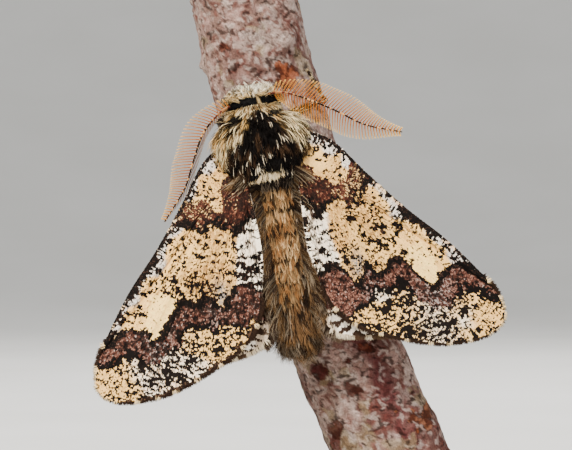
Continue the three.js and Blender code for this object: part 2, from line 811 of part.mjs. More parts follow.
addMesh(group, "perch_twig", twigWhole, "bark");
const rodX = twigAxis.getPointAt(0.06).x;
const rod = new THREE.CylinderGeometry(ROD_RADIUS, ROD_RADIUS, TWIG_FOOT_Z - BASE_THICK - 2 * GAP, 24);
rod.rotateX(Math.PI / 2);
rod.translate(rodX, 0, (TWIG_FOOT_Z + BASE_THICK) / 2);
addMesh(group, "stand_rod", solidOf(rod), "rod");
const basePoints = [
  [0, 0],
  [BASE_RADIUS, 0],
  [BASE_RADIUS, BASE_THICK - BASE_CHAMFER],
  [BASE_RADIUS - BASE_CHAMFER, BASE_THICK],
  [0, BASE_THICK],
].map(([x, y]) => new THREE.Vector2(x, y));
const base = new THREE.LatheGeometry(basePoints, 40);
base.rotateX(Math.PI / 2);
addMesh(group, "stand_base", solidOf(base), "base");

export default group;
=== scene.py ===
"""Looks for a male oak beauty moth on a twig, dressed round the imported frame.

Lengths are millimetres until make_mesh() turns them into the frame's metres. The moth has a
frame of its own: x to the viewer's right, y towards the head, z out of its back.
"""

import math

import bpy
import numpy as np
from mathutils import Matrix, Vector


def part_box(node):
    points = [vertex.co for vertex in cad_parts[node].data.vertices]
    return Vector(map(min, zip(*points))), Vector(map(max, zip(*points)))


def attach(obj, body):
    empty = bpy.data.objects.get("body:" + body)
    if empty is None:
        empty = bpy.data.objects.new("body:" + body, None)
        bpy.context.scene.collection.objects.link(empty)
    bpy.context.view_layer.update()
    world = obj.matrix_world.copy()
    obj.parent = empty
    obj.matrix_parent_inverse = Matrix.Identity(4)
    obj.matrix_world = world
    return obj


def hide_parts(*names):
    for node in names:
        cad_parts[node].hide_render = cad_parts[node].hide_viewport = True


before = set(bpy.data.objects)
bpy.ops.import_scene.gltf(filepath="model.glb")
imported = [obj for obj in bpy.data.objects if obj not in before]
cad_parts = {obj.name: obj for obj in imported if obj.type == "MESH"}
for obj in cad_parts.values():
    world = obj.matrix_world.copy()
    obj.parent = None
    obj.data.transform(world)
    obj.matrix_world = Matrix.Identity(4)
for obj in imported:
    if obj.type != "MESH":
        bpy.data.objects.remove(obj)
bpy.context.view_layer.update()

MM = 0.001
FULL_TURN = 2 * math.pi
UP = np.array([0.0, 0.0, 1.0])
SIDES = {"left": -1, "right": 1}

# The moth's place, as in the part's source
LEAN = math.radians(9.2)
MOTH_MIDDLE = np.array([-4.14, -8.9, 37.05])
MOTH_AXES = np.array([[math.cos(LEAN), 0, math.sin(LEAN)], [-math.sin(LEAN), 0, math.cos(LEAN)], [0, -1, 0]])

# Camera: level, looking along +Y at the moth's back
VIEW_MIDDLE = (-3.5, 36.5)
VIEW_DISTANCE = 260.0
VIEW_WIDTH = 52.6
SENSOR = 36.0

# Colours, as sRGB
CREAM = "#E9B96E"
BRIGHT_CREAM = "#FFD07D"
TAN = "#AE7F45"
WHITE = "#F8E5CC"
GREY = "#857A70"
BLACK = "#0B0705"
BROWN_BLACK = "#170D09"
RED_BROWN = "#381B13"
ROSE = "#68402F"


# Colours and curves
def linear(hex_colour):
    parts = [int(hex_colour[k : k + 2], 16) / 255 for k in (1, 3, 5)]
    return np.array([p / 12.92 if p < 0.04045 else ((p + 0.055) / 1.055) ** 2.4 for p in parts])


def smooth(value, low, high):
    t = np.clip((value - low) / (high - low), 0, 1)
    return t * t * (3 - 2 * t)


def bell(distance, width):
    return np.exp(-((distance / width) ** 2))


def unit(vectors):
    return vectors / np.maximum(np.linalg.norm(vectors, axis=-1, keepdims=True), 1e-9)


def vectors(x, y, z):
    return np.stack(np.broadcast_arrays(x, y, z), -1)


def mix(a, b, share):
    return a + (b - a) * share[..., None]


def tone(hex_colour, like):
    """One colour for each value in like."""
    return np.broadcast_to(linear(hex_colour), np.shape(like) + (3,))


def paint(colour, hex_colour, share):
    return mix(colour, linear(hex_colour), share * 1.0)


def two_tone(first, second, share):
    return paint(tone(first, share), second, share)


def pick(mask, chosen, other):
    return np.where(mask[..., None], chosen, other)


def uneven(colour, low, swing, draw):
    """Brightness that differs from place to place by a random number."""
    return colour * (low + swing * draw)[..., None]


def at_shares(at, shares, line):
    """Places on a line of points whose shares of its length are known."""
    return np.stack([np.interp(at, shares, line[:, k]) for k in range(line.shape[1])], -1)


# Repeatable noise in three dimensions, from 0 to 1
def lattice(cell, seed):
    n = cell[..., 0] * 374761393 + cell[..., 1] * 668265263 + cell[..., 2] * 1274126177
    n = (n + seed * 974634777) & 0xFFFFFFFF
    n = ((n ^ (n >> 13)) * 1274126177) & 0xFFFFFFFF
    n = n ^ (n >> 16)
    return (n & 0xFFFF) / 65535.0


def noise(points, size, seed):
    p = points / size
    cell = np.floor(p).astype(np.int64)
    f = p - cell
    f = f * f * (3 - 2 * f)
    total = 0
    for corner in np.ndindex(2, 2, 2):
        c = np.array(corner)
        weight = np.prod(np.where(c == 1, f, 1 - f), axis=-1)
        total = total + weight * lattice(cell + c, seed)
    return total


def rough(points, size, seed, octaves=3):
    weights = 0.5 ** np.arange(octaves)
    layers = [w * noise(points, size * w, seed + 17 * k) for k, w in enumerate(weights)]
    return sum(layers) / weights.sum()


def flat(x, y):
    return vectors(x, y, 0.0 * x)


# Meshes
def make_mesh(name, points, faces, colour=None, uv=None, shade_smooth=True, in_moth=True):
    """A mesh from millimetre points and faces with equally many corners."""
    points = np.asarray(points, float)
    if in_moth:
        points = MOTH_MIDDLE + points @ MOTH_AXES
    faces = np.asarray(faces, np.int64)
    corners = faces.shape[1]
    mesh = bpy.data.meshes.new(name)
    mesh.vertices.add(len(points))
    mesh.vertices.foreach_set("co", (points * MM).astype(np.float32).ravel())
    mesh.loops.add(faces.size)
    mesh.loops.foreach_set("vertex_index", faces.astype(np.int32).ravel())
    mesh.polygons.add(len(faces))
    mesh.polygons.foreach_set("loop_start", np.arange(0, faces.size, corners, dtype=np.int32))
    mesh.polygons.foreach_set("use_smooth", np.full(len(faces), shade_smooth))
    if uv is not None:
        layer = mesh.uv_layers.new(name="OFBake")
        layer.data.foreach_set("uv", uv[faces.ravel()].astype(np.float32).ravel())
    if colour is not None:
        layer = mesh.color_attributes.new("marking", "FLOAT_COLOR", "POINT")
        rgba = np.ones((len(points), 4), np.float32)
        rgba[:, :3] = np.clip(colour, 0, 1)
        layer.data.foreach_set("color", rgba.ravel())
    mesh.update(calc_edges=True)
    mesh.validate()
    made = bpy.data.objects.new(name, mesh)
    bpy.context.scene.collection.objects.link(made)
    return made


def dress(piece, slot, material, *nodes):
    piece.data.materials.append(material)
    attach(piece, "root")
    if nodes:
        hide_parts(*nodes)
    return piece


def grid_faces(rows, columns, closed):
    """Quads over rows of points; closed joins each row's last point to its first."""
    quads_a_row = columns if closed else columns - 1
    i, j = np.meshgrid(np.arange(rows - 1), np.arange(quads_a_row), indexing="ij")
    a = i * columns + j
    b = i * columns + (j + 1) % columns
    return np.stack([a, b, b + columns, a + columns], -1).reshape(-1, 4)


def triangles_of(quads):
    """Two triangles for a quad, or one where its last two corners are the same."""
    whole = quads[:, 2] != quads[:, 3]
    return np.vstack([quads[:, [0, 1, 2]], quads[whole][:, [0, 2, 3]]])


def end_fans(rows, columns):
    """Triangles from a tube's first and last rings to the two points that follow its rings."""
    ring = np.arange(columns)
    after = np.roll(ring, -1)
    first = rows * columns
    last = first - columns
    low = np.stack([np.full(columns, first), after, ring], -1)
    high = np.stack([np.full(columns, first + 1), last + ring, last + after], -1)
    return np.vstack([low, high])


def joined(parts):
    """Points, faces and colours of several parts as one."""
    points, faces, colours = zip(*parts)
    starts = np.cumsum([0] + [len(p) for p in points[:-1]])
    faces = [f + start for f, start in zip(faces, starts)]
    return np.vstack(points), np.vstack(faces), np.vstack(colours)


def tube(line, radii, sides):
    """Points and quads of a tube along a line of places."""
    along = unit(np.gradient(line, axis=0))
    across = np.cross(along, UP)
    upright = np.linalg.norm(across, axis=1) < 0.05
    across[upright] = np.cross(along[upright], [1.0, 0, 0])
    across = unit(across)
    third = np.cross(across, along)
    turn = np.arange(sides) / sides * FULL_TURN
    ring = np.cos(turn)[None, :, None] * across[:, None] + np.sin(turn)[None, :, None] * third[:, None]
    points = line[:, None] + radii[:, None, None] * ring
    return points.reshape(-1, 3), grid_faces(len(line), sides, True)


TUFT_PATCH = 0.003  # across, on the map that bakes the colours
BLADE_RINGS = np.array([0.0, 0.35, 0.7])
BLADE_WIDTHS = np.array([0.75, 1.0, 0.62])
BLADE_DEPTH = 0.55  # as a share of the half width
BLADE_POINTS = 10


def blade_faces():
    """Faces of one three-sided tapering blade."""
    faces = []
    for ring in range(len(BLADE_RINGS) - 1):
        for side in range(3):
            a = ring * 3 + side
            b = ring * 3 + (side + 1) % 3
            faces += [(a, b, b + 3), (a, b + 3, a + 3)]
    tip = BLADE_POINTS - 1
    last = tip - 3
    faces += [(last + side, last + (side + 1) % 3, tip) for side in range(3)]
    return np.array(faces)


def leaders(random, places, share):
    """For each place the nearest of a few chosen ones, so that hairs gather into tufts."""
    chosen = random.choice(len(places), max(int(len(places) * share), 1), replace=False)
    places = places.astype(np.float32)
    heads = places[chosen]
    nearest = []
    for part in np.array_split(places, len(places) // 2000 + 1):
        gap = ((part[:, None] - heads[None]) ** 2).sum(-1)
        nearest.append(chosen[gap.argmin(1)])
    return np.concatenate(nearest)


def blades(name, root, out, lie, length, width, rise, droop, curl, base, tip, uv, pull=0.0):
    """Solid tapering hairs. Each leaves its root along its lie, rises and then droops."""
    count = len(root)
    pull = np.broadcast_to(pull, (count, 3))[:, None]
    lie = unit(lie)
    across = unit(np.cross(lie, out))
    shares = np.append(BLADE_RINGS, 1.0)
    s = shares[None, :, None]
    up = rise[:, None, None] * (s - 0.5 * s**2) - droop[:, None, None] * 0.5 * s**2
    bend = up * out[:, None] + curl[:, None, None] * s**2 * across[:, None]
    line = root[:, None] + length[:, None, None] * (s * lie[:, None] + bend) + pull * s**1.5
    half = (width[:, None] * BLADE_WIDTHS / 2)[..., None]
    rings = line[:, :3]
    sideways = half * across[:, None]
    corners = [rings + sideways, rings + BLADE_DEPTH * half * out[:, None], rings - sideways]
    body = np.stack(corners, 2).reshape(count, 9, 3)
    points = np.concatenate([body, line[:, 3:]], 1).reshape(-1, 3)
    level = smooth(np.repeat(shares, [3, 3, 3, 1]), 0.15, 1)
    colour = mix(base[:, None], tip[:, None], np.broadcast_to(level, (count, BLADE_POINTS)))
    patch = np.array([[x, t] for t in BLADE_RINGS for x in (0.5, 0, -0.5)] + [[0, 1]])
    maps = uv[:, None] + TUFT_PATCH * (patch - [0, 0.5])
    faces = (blade_faces()[None] + BLADE_POINTS * np.arange(count)[:, None, None]).reshape(-1, 3)
    return make_mesh(name, points, faces, colour.reshape(-1, 3), maps.reshape(-1, 2))


# Materials
def grained(name, grain_mm, roughness, swing, bump, depth, shine):
    """A material whose roughness and height follow a fine grain, and its parts for the colour."""
    material = bpy.data.materials.new(name)
    material.use_nodes = True
    nodes = material.node_tree.nodes
    links = material.node_tree.links
    shader = nodes["Principled BSDF"]
    place = nodes.new("ShaderNodeTexCoord")
    grain = nodes.new("ShaderNodeTexNoise")
    grain.inputs["Scale"].default_value = 1 / (grain_mm * MM)
    grain.inputs["Detail"].default_value = 3.0
    links.new(place.outputs["Object"], grain.inputs["Vector"])
    level = grain.outputs["Fac"]
    links.new(span(nodes, links, level, roughness, swing), shader.inputs["Roughness"])
    height = nodes.new("ShaderNodeBump")
    height.inputs["Strength"].default_value = bump
    height.inputs["Distance"].default_value = grain_mm * MM * depth
    links.new(level, height.inputs["Height"])
    links.new(height.outputs["Normal"], shader.inputs["Normal"])
    shader.inputs["Specular IOR Level"].default_value = shine
    return material, nodes, links, shader, level


def span(nodes, links, level, middle, swing):
    """The grain's usual range turned into a range round a middle."""
    node = nodes.new("ShaderNodeMapRange")
    values = {"From Min": 0.3, "From Max": 0.7, "To Min": middle - swing, "To Max": middle + swing}
    for key, value in values.items():
        node.inputs[key].default_value = value
    links.new(level, node.inputs["Value"])
    return node.outputs["Result"]


def marked_material(name, roughness, grain_mm, variation, bump):
    """Markings from the mesh, varied by fine grain."""
    parts = grained(name, grain_mm, roughness, 0.1, bump, depth=0.5, shine=0.06)
    material, nodes, links, shader, level = parts
    marks = nodes.new("ShaderNodeVertexColor")
    marks.layer_name = "marking"
    scaled = nodes.new("ShaderNodeVectorMath")
    scaled.operation = "SCALE"
    links.new(marks.outputs["Color"], scaled.inputs[0])
    links.new(span(nodes, links, level, 1, variation), scaled.inputs["Scale"])
    links.new(scaled.outputs["Vector"], shader.inputs["Base Color"])
    return material


def plain_material(name, colour, other, roughness, grain_mm, bump, metallic=0.0, shine=0.5):
    """Two tones mixed by fine grain."""
    parts = grained(name, grain_mm, roughness, 0.06, bump, depth=0.4, shine=shine)
    material, nodes, links, shader, level = parts
    ramp = nodes.new("ShaderNodeValToRGB")
    for stop, position, hex_colour in zip(ramp.color_ramp.elements, (0.35, 0.65), (colour, other)):
        stop.position = position
        stop.color = (*linear(hex_colour), 1)
    links.new(level, ramp.inputs["Fac"])
    links.new(ramp.outputs["Color"], shader.inputs["Base Color"])
    shader.inputs["Metallic"].default_value = metallic
    return material


# Wings
FORE_ROOT = ((2.6, 7.3), (2.6, 3.9))
FORE_RIM = [
    (2.8, 7.9), (5.8, 6.35), (8.4, 3.0), (10.3, 0.6), (12.1, -1.55), (14.5, -4.1),
    (16.5, -6.65), (18.0, -8.9), (18.95, -10.8), (19.35, -12.4), (18.95, -13.6), (17.5, -14.35),
    (15.7, -14.5), (13.6, -14.4), (11.6, -13.9), (9.7, -13.2), (8.1, -12.5), (6.6, -11.8),
    (5.3, -10.9), (4.2, -9.8), (3.1, -7.6), (2.7, -5.8), (2.2, -3.6), (2.15, -1.0),
    (2.3, 1.6), (2.5, 3.4),
]
HIND_ROOT = ((2.7, 4.0), (2.45, 2.2))
HIND_RIM = [
    (3.0, 4.4), (5.6, 1.6), (8.3, -1.8), (10.8, -5.2), (12.6, -8.4), (13.3, -10.4),
    (12.9, -11.9), (11.3, -12.6), (9.2, -12.7), (7.0, -12.4), (5.2, -12.1), (3.6, -11.6),
    (2.75, -10.4), (2.55, -7.5), (2.4, -4.0), (2.35, -1.0), (2.4, 1.6),
]
# Shares of the rim at which veins end
FORE_VEINS = [0.4, 0.465, 0.505, 0.54, 0.575, 0.605, 0.645, 0.69, 0.735, 0.775, 0.825]
HIND_VEINS = [0.42, 0.5, 0.57, 0.64, 0.7, 0.77]
SWEEP = {1: -0.5, -1: 0.5}
WING_HALF_THICK = 0.12
RIM_STEPS = 2001


def closed_curve(points, steps):
    """A Catmull-Rom curve through the points, spaced evenly along its length."""
    p = np.array(points, float)
    before = np.vstack([2 * p[0] - p[1], p, 2 * p[-1] - p[-2]])
    t = np.linspace(0, 1, 24, endpoint=False)[:, None]
    runs = []
    for k in range(1, len(before) - 2):
        a, b, c, d = before[k - 1 : k + 3]
        square = (2 * a - 5 * b + 4 * c - d) * t**2
        runs.append(0.5 * (2 * b + (c - a) * t + square + (3 * b - a - 3 * c + d) * t**3))
    line = np.vstack(runs + [p[-1:]])
    length = lengths_along(line)
    return at_shares(np.linspace(0, length[-1], steps), length, line)


def lengths_along(line):
    return np.append(0, np.cumsum(np.linalg.norm(np.diff(line, axis=0), axis=1)))


def wing_height(x, y, below):
    """Highest at the body, with a costa that curls down."""
    from_costa = np.maximum(0, (10.6 - 1.19 * x - y) / 1.55)
    return 1.9 - 0.23 * np.maximum(0, x - 2.3) - 0.45 * bell(from_costa, 1.3) - below


class Wing:
    """A wing by two shares: across, along its rim, and out, from its root to the rim."""

    def __init__(self, rim, root, veins, side, below, room_for_fringe):
        self.side = side
        self.below = below
        self.room = room_for_fringe
        self.rim = closed_curve(rim, RIM_STEPS)
        self.root = np.array(root)
        self.veins = np.array(veins)
        self.turn = math.radians(SWEEP[side])
        self.pivot = np.array([root[0][0], (root[0][1] + root[1][1]) / 2])

    def plan(self, across, out):
        """The place before the wing is swept, which the markings use."""
        rim = at_shares(across * (RIM_STEPS - 1), np.arange(RIM_STEPS), self.rim)
        start = self.root[0] + (self.root[1] - self.root[0]) * across[..., None]
        edge = smooth(across, 0.39, 0.52) * smooth(0.86 - across, 0, 0.05)
        return start + (rim - start) * (out * (1 - self.room * edge))[..., None]

    def relief(self, across, out):
        """Veins stand out of the membrane, and it sags a little between them."""
        near = np.abs(across[..., None] - self.veins).min(-1)
        fold = 0.07 * np.cos(np.minimum(near / 0.02, 1) * np.pi)
        return (0.1 * bell(near, 0.004) + fold) * smooth(out, 0.1, 0.5)

    def surface(self, across, out):
        dx, dy = np.moveaxis(self.plan(across, out) - self.pivot, -1, 0)
        x = self.pivot[0] + dx * math.cos(self.turn) + dy * math.sin(self.turn)
        y = self.pivot[1] - dx * math.sin(self.turn) + dy * math.cos(self.turn)
        return vectors(self.side * x, y, wing_height(x, y, self.below) + self.relief(across, out))

    def frame_at(self, across, out):
        """Place, normal and the direction out along the veins."""
        e = 0.002
        outwards = unit(self.surface(across, out + e) - self.surface(across, out - e))
        sideways = self.surface(across + e, out) - self.surface(across - e, out)
        normal = unit(np.cross(sideways, outwards))
        return self.surface(across, out), normal * np.sign(normal[..., 2:3]), outwards


# Markings of the forewing, [x, y] in the moth's frame for the right-hand wing
ANTE = {
    1: [(1.6, 2.5), (2.0, 1.95), (2.67, 0.89), (3.63, 0.05), (4.69, 0.7), (5.45, 1.12),
        (6.38, 0.15), (6.87, 0.62), (7.53, 1.33), (8.17, 1.91), (9.3, 2.2)],
    -1: [(1.8, 1.6), (3.08, 0.35), (4.0, -0.38), (4.85, 0.32), (5.86, 1.04), (6.55, 0.75),
         (7.33, -0.09), (8.11, 1.0), (9.08, 1.0), (10.2, 1.2)],
}
POST = {
    1: [(1.8, -6.2), (3.08, -5.47), (3.96, -4.65), (4.7, -5.18), (5.5, -6.13), (6.28, -7.21),
        (7.0, -5.2), (7.65, -6.34), (8.17, -6.56), (8.96, -5.87), (9.47, -5.27), (10.25, -5.53),
        (10.92, -6.46), (11.72, -7.41), (12.54, -8.23), (13.28, -8.76), (13.61, -7.58),
        (14.34, -7.29), (15.11, -6.73), (16.02, -7.01), (17.34, -8.18), (18.6, -9.2)],
    -1: [(1.8, -6.4), (2.98, -5.93), (3.84, -5.31), (4.8, -5.31), (5.6, -6.3), (6.43, -7.45),
         (7.09, -6.54), (7.69, -6.29), (8.39, -6.65), (9.17, -6.53), (9.72, -5.96), (10.58, -6.3),
         (11.43, -7.61), (12.44, -8.89), (13.46, -9.2), (13.77, -8.19), (14.71, -8.04),
         (15.49, -7.91), (16.53, -8.39), (18.4, -9.2)],
}
MEDIAN = {
    1: [(11.4, -1.2), (11.03, -2.38), (10.02, -3.58), (9.13, -3.98), (8.44, -3.19), (7.24, -3.82),
        (6.67, -4.82)],
    -1: [(12.0, -2.0), (11.53, -3.26), (10.25, -4.27), (8.92, -4.0), (9.05, -4.78), (7.75, -4.67),
         (7.66, -6.13)],
}
BLOTCH = {
    1: [(10.9, -0.9), (12.4, -2.1), (14.1, -3.7)],
    -1: [(11.9, -1.6), (13.2, -3.0), (14.6, -4.4)],
}
TOOTH = {
    1: [(11.3, -4.3), (12.4, -4.2), (13.3, -5.9), (13.55, -7.2), (13.35, -8.5), (12.5, -7.8),
        (11.3, -6.4), (10.7, -5.4)],
    -1: [(10.8, -5.1), (12.8, -4.8), (13.3, -6.3), (13.7, -7.6), (13.4, -8.9), (12.4, -8.5),
         (11.5, -7.3), (10.7, -6.1)],
}
GREY_SMUDGE = {1: (6.3, -5.2), -1: (6.3, -5.9)}
# Points that close the basal and outer areas beyond the wing
BASAL_CORNERS = [(12, 12), (0, 12)]
OUTER_CORNERS = [(24, -14), (14, -20), (0, -20)]
COSTA = closed_curve(FORE_RIM, 400)[:156:5]
TERMEN = closed_curve(FORE_RIM, 120)[48:98:2]
# Heights along the costa between which its edge is dark
DARK_COSTA = {
    1: [(2.0, 9.0), (-3.4, -0.8), (-11.0, -5.6)],
    -1: [(1.6, 9.0), (-3.8, -1.3), (-11.7, -9.0)],
}
# What differs between the two sides: mostly levels of noise above which a scale is black
LEVELS = {
    1: dict(cream=0.603, white=0.55, inner=0.015, tan=0.565, reach=0.3, ruddy=0.63,
            terminal=0.44, costa=0.66),
    -1: dict(cream=0.562, white=0.525, inner=0.055, tan=0.545, reach=1.3, ruddy=0.56,
             terminal=0.45, costa=0.58),
}
FORE_SEED = {1: 40, -1: 60}


def to_line(x, y, line):
    """Distance to a line of points."""
    p = np.stack([x, y], -1)
    points = np.array(line)
    best = np.full(x.shape, 1e9)
    for a, b in zip(points[:-1], points[1:]):
        run = b - a
        t = np.clip(((p - a) @ run) / (run @ run), 0, 1)
        best = np.minimum(best, np.linalg.norm(p - (a + t[..., None] * run), axis=-1))
    return best


def inside(x, y, outline):
    """True inside a closed outline."""
    points = np.array(outline)
    result = np.zeros(x.shape, bool)
    for (ax, ay), (bx, by) in zip(points, np.roll(points, -1, 0)):
        crosses = (ay > y) != (by > y)
        at = ax + (y - ay) / (by - ay + 1e-12) * (bx - ax)
        result ^= crosses & (x < at)
    return result


class Marks:
    """Noises, areas and distances that a forewing's colours are made from.

    The draw is a random number for each scale.
    """

    def __init__(self, plan, side, draw):
        self.x, self.y = x, y = plan[..., 0], plan[..., 1]
        self.side, self.draw, self.level = side, draw, LEVELS[side]
        self.p = flat(x, y)
        wx = x + 0.5 * (self.noise(0.6, 0) - 0.5) + 0.3 * (self.noise(0.2, 20) - 0.5)
        wy = y + 0.5 * (self.noise(0.6, 1) - 0.5) + 0.3 * (self.noise(0.2, 21) - 0.5)
        lines = [to_line(wx, wy, table[side]) for table in (ANTE, POST, MEDIAN, BLOTCH)]
        self.ante, self.post, self.median, self.blotch = lines
        self.costa = to_line(x, y, COSTA)
        self.rim = to_line(x, y, TERMEN)
        self.basal = inside(wx, wy, ANTE[side] + BASAL_CORNERS)
        self.outer = inside(wx, wy, POST[side] + OUTER_CORNERS)
        self.middle = ~self.basal & ~self.outer
        self.tooth = inside(wx, wy, TOOTH[side])

        # Striae lie across the veins, which fan out from the root
        angle = np.arctan2(x - 1.5, 9.0 - y)
        radius = np.hypot(x - 1.5, 9.0 - y)
        ripple = 0.55 * (self.noise(0.8, 26) - 0.5) + 0.2 * (self.noise(0.3, 27) - 0.5)
        fan = flat(radius + ripple, angle * radius * 0.25 + 0.3 * ripple)
        self.striae = noise(fan, 0.11, FORE_SEED[side] + 2)
        self.clumps = self.noise(0.17, 3)
        self.patches = self.noise(1.3, 4)
        self.flecks = 0.55 * self.clumps + 0.45 * self.striae + 0.22 * (self.noise(0.6, 23) - 0.5)

        self.tan = smooth(self.noise(2.2, 5), 0.3, 0.5) * smooth(10.5 - x, 0, 2)
        self.white = smooth(4.1 - 0.12 * wy - wx, -0.25, 0.25) * smooth(wy, -7.5, -7.0)
        self.pale_costa = smooth(1.0 - self.costa + 1.3 * (self.patches - 0.5), -0.1, 0.2)

    def noise(self, size, number):
        return noise(self.p, size, FORE_SEED[self.side] + number)


def middle_area(m):
    """Cream with tan, white at the dorsum and greyish white at the costa."""
    draw = m.draw
    colour = tone(CREAM, m.x)
    colour = paint(colour, TAN, 0.8 * m.tan * (draw + 0.6 * m.noise(0.18, 24) > 0.7))
    colour = paint(colour, "#7A5630", 0.8 * m.tan * (draw > 0.91))
    colour = paint(colour, WHITE, m.white * m.middle)
    chill = two_tone("#DCCFC0", "#A3968C", draw > 0.6)
    colour = mix(colour, chill, m.pale_costa * (m.middle | m.basal))
    gx, gy = GREY_SMUDGE[m.side]
    smudge = np.clip(1.3 * bell(m.x - gx, 0.6) * bell(m.y - gy, 1.2), 0, 1)
    colour = paint(colour, GREY, smudge * m.middle * (draw > 0.25))
    return pick(m.tooth, linear(BRIGHT_CREAM), colour)


def black_specks(m):
    """Single black scales, the median line and the blotch at its upper end."""
    x, y, level = m.x, m.y, m.level
    white = m.middle & (m.white > 0.5)
    pale_costa = m.pale_costa > 0.5
    amount = np.full(x.shape, level["cream"])
    amount = np.where(white, level["white"] - level["inner"] * smooth(3.9 - x, -0.4, 0.5), amount)
    amount = np.where(m.middle & (m.tan > 0.5), level["tan"], amount)
    amount = np.where(m.middle & pale_costa, 0.49, amount)
    amount = amount - 0.03 * (m.middle & (y < -3.2) & (x < 10.5))
    amount = np.where(m.tooth, 0.73, amount)
    amount = np.where(m.basal & pale_costa, 0.55, amount)
    amount = np.where(m.basal & (np.hypot(x - 3.6, y - 6.7) < 1.5), 0.45, amount)
    wave = 0.5 * (m.noise(0.45, 32) - 0.5) + 0.3 * (m.noise(0.2, 33) - 0.5)
    dashes = flat(y + 0.2 * x + wave, 0.3 * x + 0.5 * wave)
    wavy = 0.76 * noise(dashes, 0.15, FORE_SEED[m.side] + 31) + 0.24 * m.noise(0.5, 28)
    black = np.where(white, wavy, m.flecks) > amount + 0.12 * (m.patches - 0.5)
    median = (m.median < 0.17 + 0.35 * (m.clumps - 0.4)) & (m.noise(0.8, 25) > 0.36)
    return black | m.middle & (median | (m.blotch < 0.45 + 0.5 * (m.clumps - 0.5)))


def basal_band(m):
    """Where the reddish band towards the root lies, and its colour."""
    draw = m.draw
    reach = 2.2 + 1.0 * (m.patches - 0.5) - 1.15 * bell(m.x - 5.4, 0.7)
    reach = reach + m.level["reach"] * smooth(5.0 - m.x, 0, 0.5)
    red = two_tone(RED_BROWN, ROSE, draw > 0.76)
    red = paint(red, BROWN_BLACK, (m.flecks + 0.2 * draw > 0.58) * 0.92)
    light = (draw < 0.02 + 0.33 * smooth(m.x, 4.8, 6.2)) & (m.clumps > 0.52)
    return m.basal & (m.ante < reach), paint(red, "#D9AE74", ((draw < 0.015) | light) * 0.85)


def outer_area(m):
    """A reddish band with a black shade, then streaks out to the fringe."""
    x, draw = m.x, m.draw
    wide = 1.75 - 0.5 * bell(x - 6.6, 1.0) + 1.1 * smooth(6.0 - x, 0, 1.5)
    reach = m.post + 0.9 * (m.patches - 0.5)
    greyed = np.clip(bell(x - 12.9, 1.2) + 0.6 * bell(x - 7.2, 0.7), 0, 1)
    shade = smooth(reach, wide - 0.9, wide - 0.1) * bell(x - 9.6, 2.6)
    shade = shade + smooth(reach, 0.9, 1.6) * smooth(x, 14.0, 15.5)
    ruddy = two_tone("#482920", "#7B5749", (draw > 0.62) * 0.9)
    ruddy = paint(ruddy, "#8C8079", greyed * (draw > 0.5) * 0.85)
    ruddy = paint(ruddy, "#A8978E", (draw < 0.03) * 0.9)
    ruddy = paint(ruddy, BROWN_BLACK, (m.flecks + 0.16 * draw > m.level["ruddy"]) * 0.92)
    ruddy = paint(ruddy, BLACK, m.clumps + 0.35 * draw > 1.0 - 0.75 * shade)
    shadow = smooth(wide + 0.6 - reach, 0.0, 0.5) * (1 - bell(x - 12.9, 1.2))
    return pick(reach < wide, ruddy, terminal_area(m, shadow))


def terminal_area(m, shadow):
    x, draw = m.x, m.draw
    mottled = bell(x - 12.7, 1.9)
    whiter = np.clip(smooth(m.noise(2.0, 6), 0.55, 0.68) + 0.8 * mottled, 0, 1)
    apex = smooth(np.hypot(x - 18.6, m.y + 11.6), 3.6, 2.0)
    dark = m.level["terminal"] + 0.1 * apex - 0.03 * mottled + 0.14 * (m.noise(0.7, 7) - 0.5)
    dark = dark + 0.06 * smooth(m.rim, 0.7, 0.2) * (1 - apex)
    streak = 0.5 * m.striae + 0.5 * m.noise(0.13, 29)
    light = streak <= dark
    colour = two_tone(CREAM, "#F0DCC0", whiter * smooth(16.5 - x, 0, 1.5))
    colour = pick(light, colour, linear("#120C09"))
    colour = paint(colour, "#8A7F76", (light & (draw < 0.3)) * mottled * 0.9)
    colour = paint(colour, TAN, (light & (draw > 0.85)) * 0.7)
    colour = paint(colour, BLACK, shadow * (0.3 + 0.5 * m.clumps + 0.5 * m.striae) > 0.62)
    margin = (m.rim < 0.36 + 0.2 * (m.clumps - 0.5)) & (apex < 0.5) & (m.noise(0.55, 30) < 0.64)
    return pick(margin, two_tone("#1C120C", "#4A3526", draw > 0.7), colour)


def forewing_colour(plan, side, draw):
    """Colour of each scale."""
    m = Marks(plan, side, draw)
    band, red = basal_band(m)
    colour = pick(m.outer, outer_area(m), pick(band, red, middle_area(m)))
    # The two black lines, wider in places
    ante_width = 0.17 + 0.4 * bell(m.x - 3.6, 0.9) + 0.3 * bell(m.x - 8.3, 0.9)
    post_width = 0.15 + 0.4 * (m.noise(0.9, 8) - 0.25)
    black = black_specks(m) & ~band | (m.ante < ante_width + 0.32 * (m.clumps - 0.5))
    black = black & ~m.outer | (m.post < post_width + 0.08 * (draw - 0.5))
    # Costa: a thin dark edge with pale chequers
    dark = noise(flat(m.y, 0 * m.x), 0.35, FORE_SEED[side] + 9) > m.level["costa"]
    for low, high in DARK_COSTA[side]:
        dark |= (m.y > low) & (m.y < high)
    edge = (m.costa < 0.34 + 0.25 * (m.clumps - 0.5)) & (m.rim > 0.5)
    colour = pick(edge & ~dark, two_tone("#DDBF95", "#A98A78", draw > 0.7), colour)
    black |= edge & dark & (draw > 0.06)
    colour = pick(black, two_tone(BLACK, "#33221A", draw > 0.88), colour)
    return uneven(colour, 0.84, 0.3, draw)


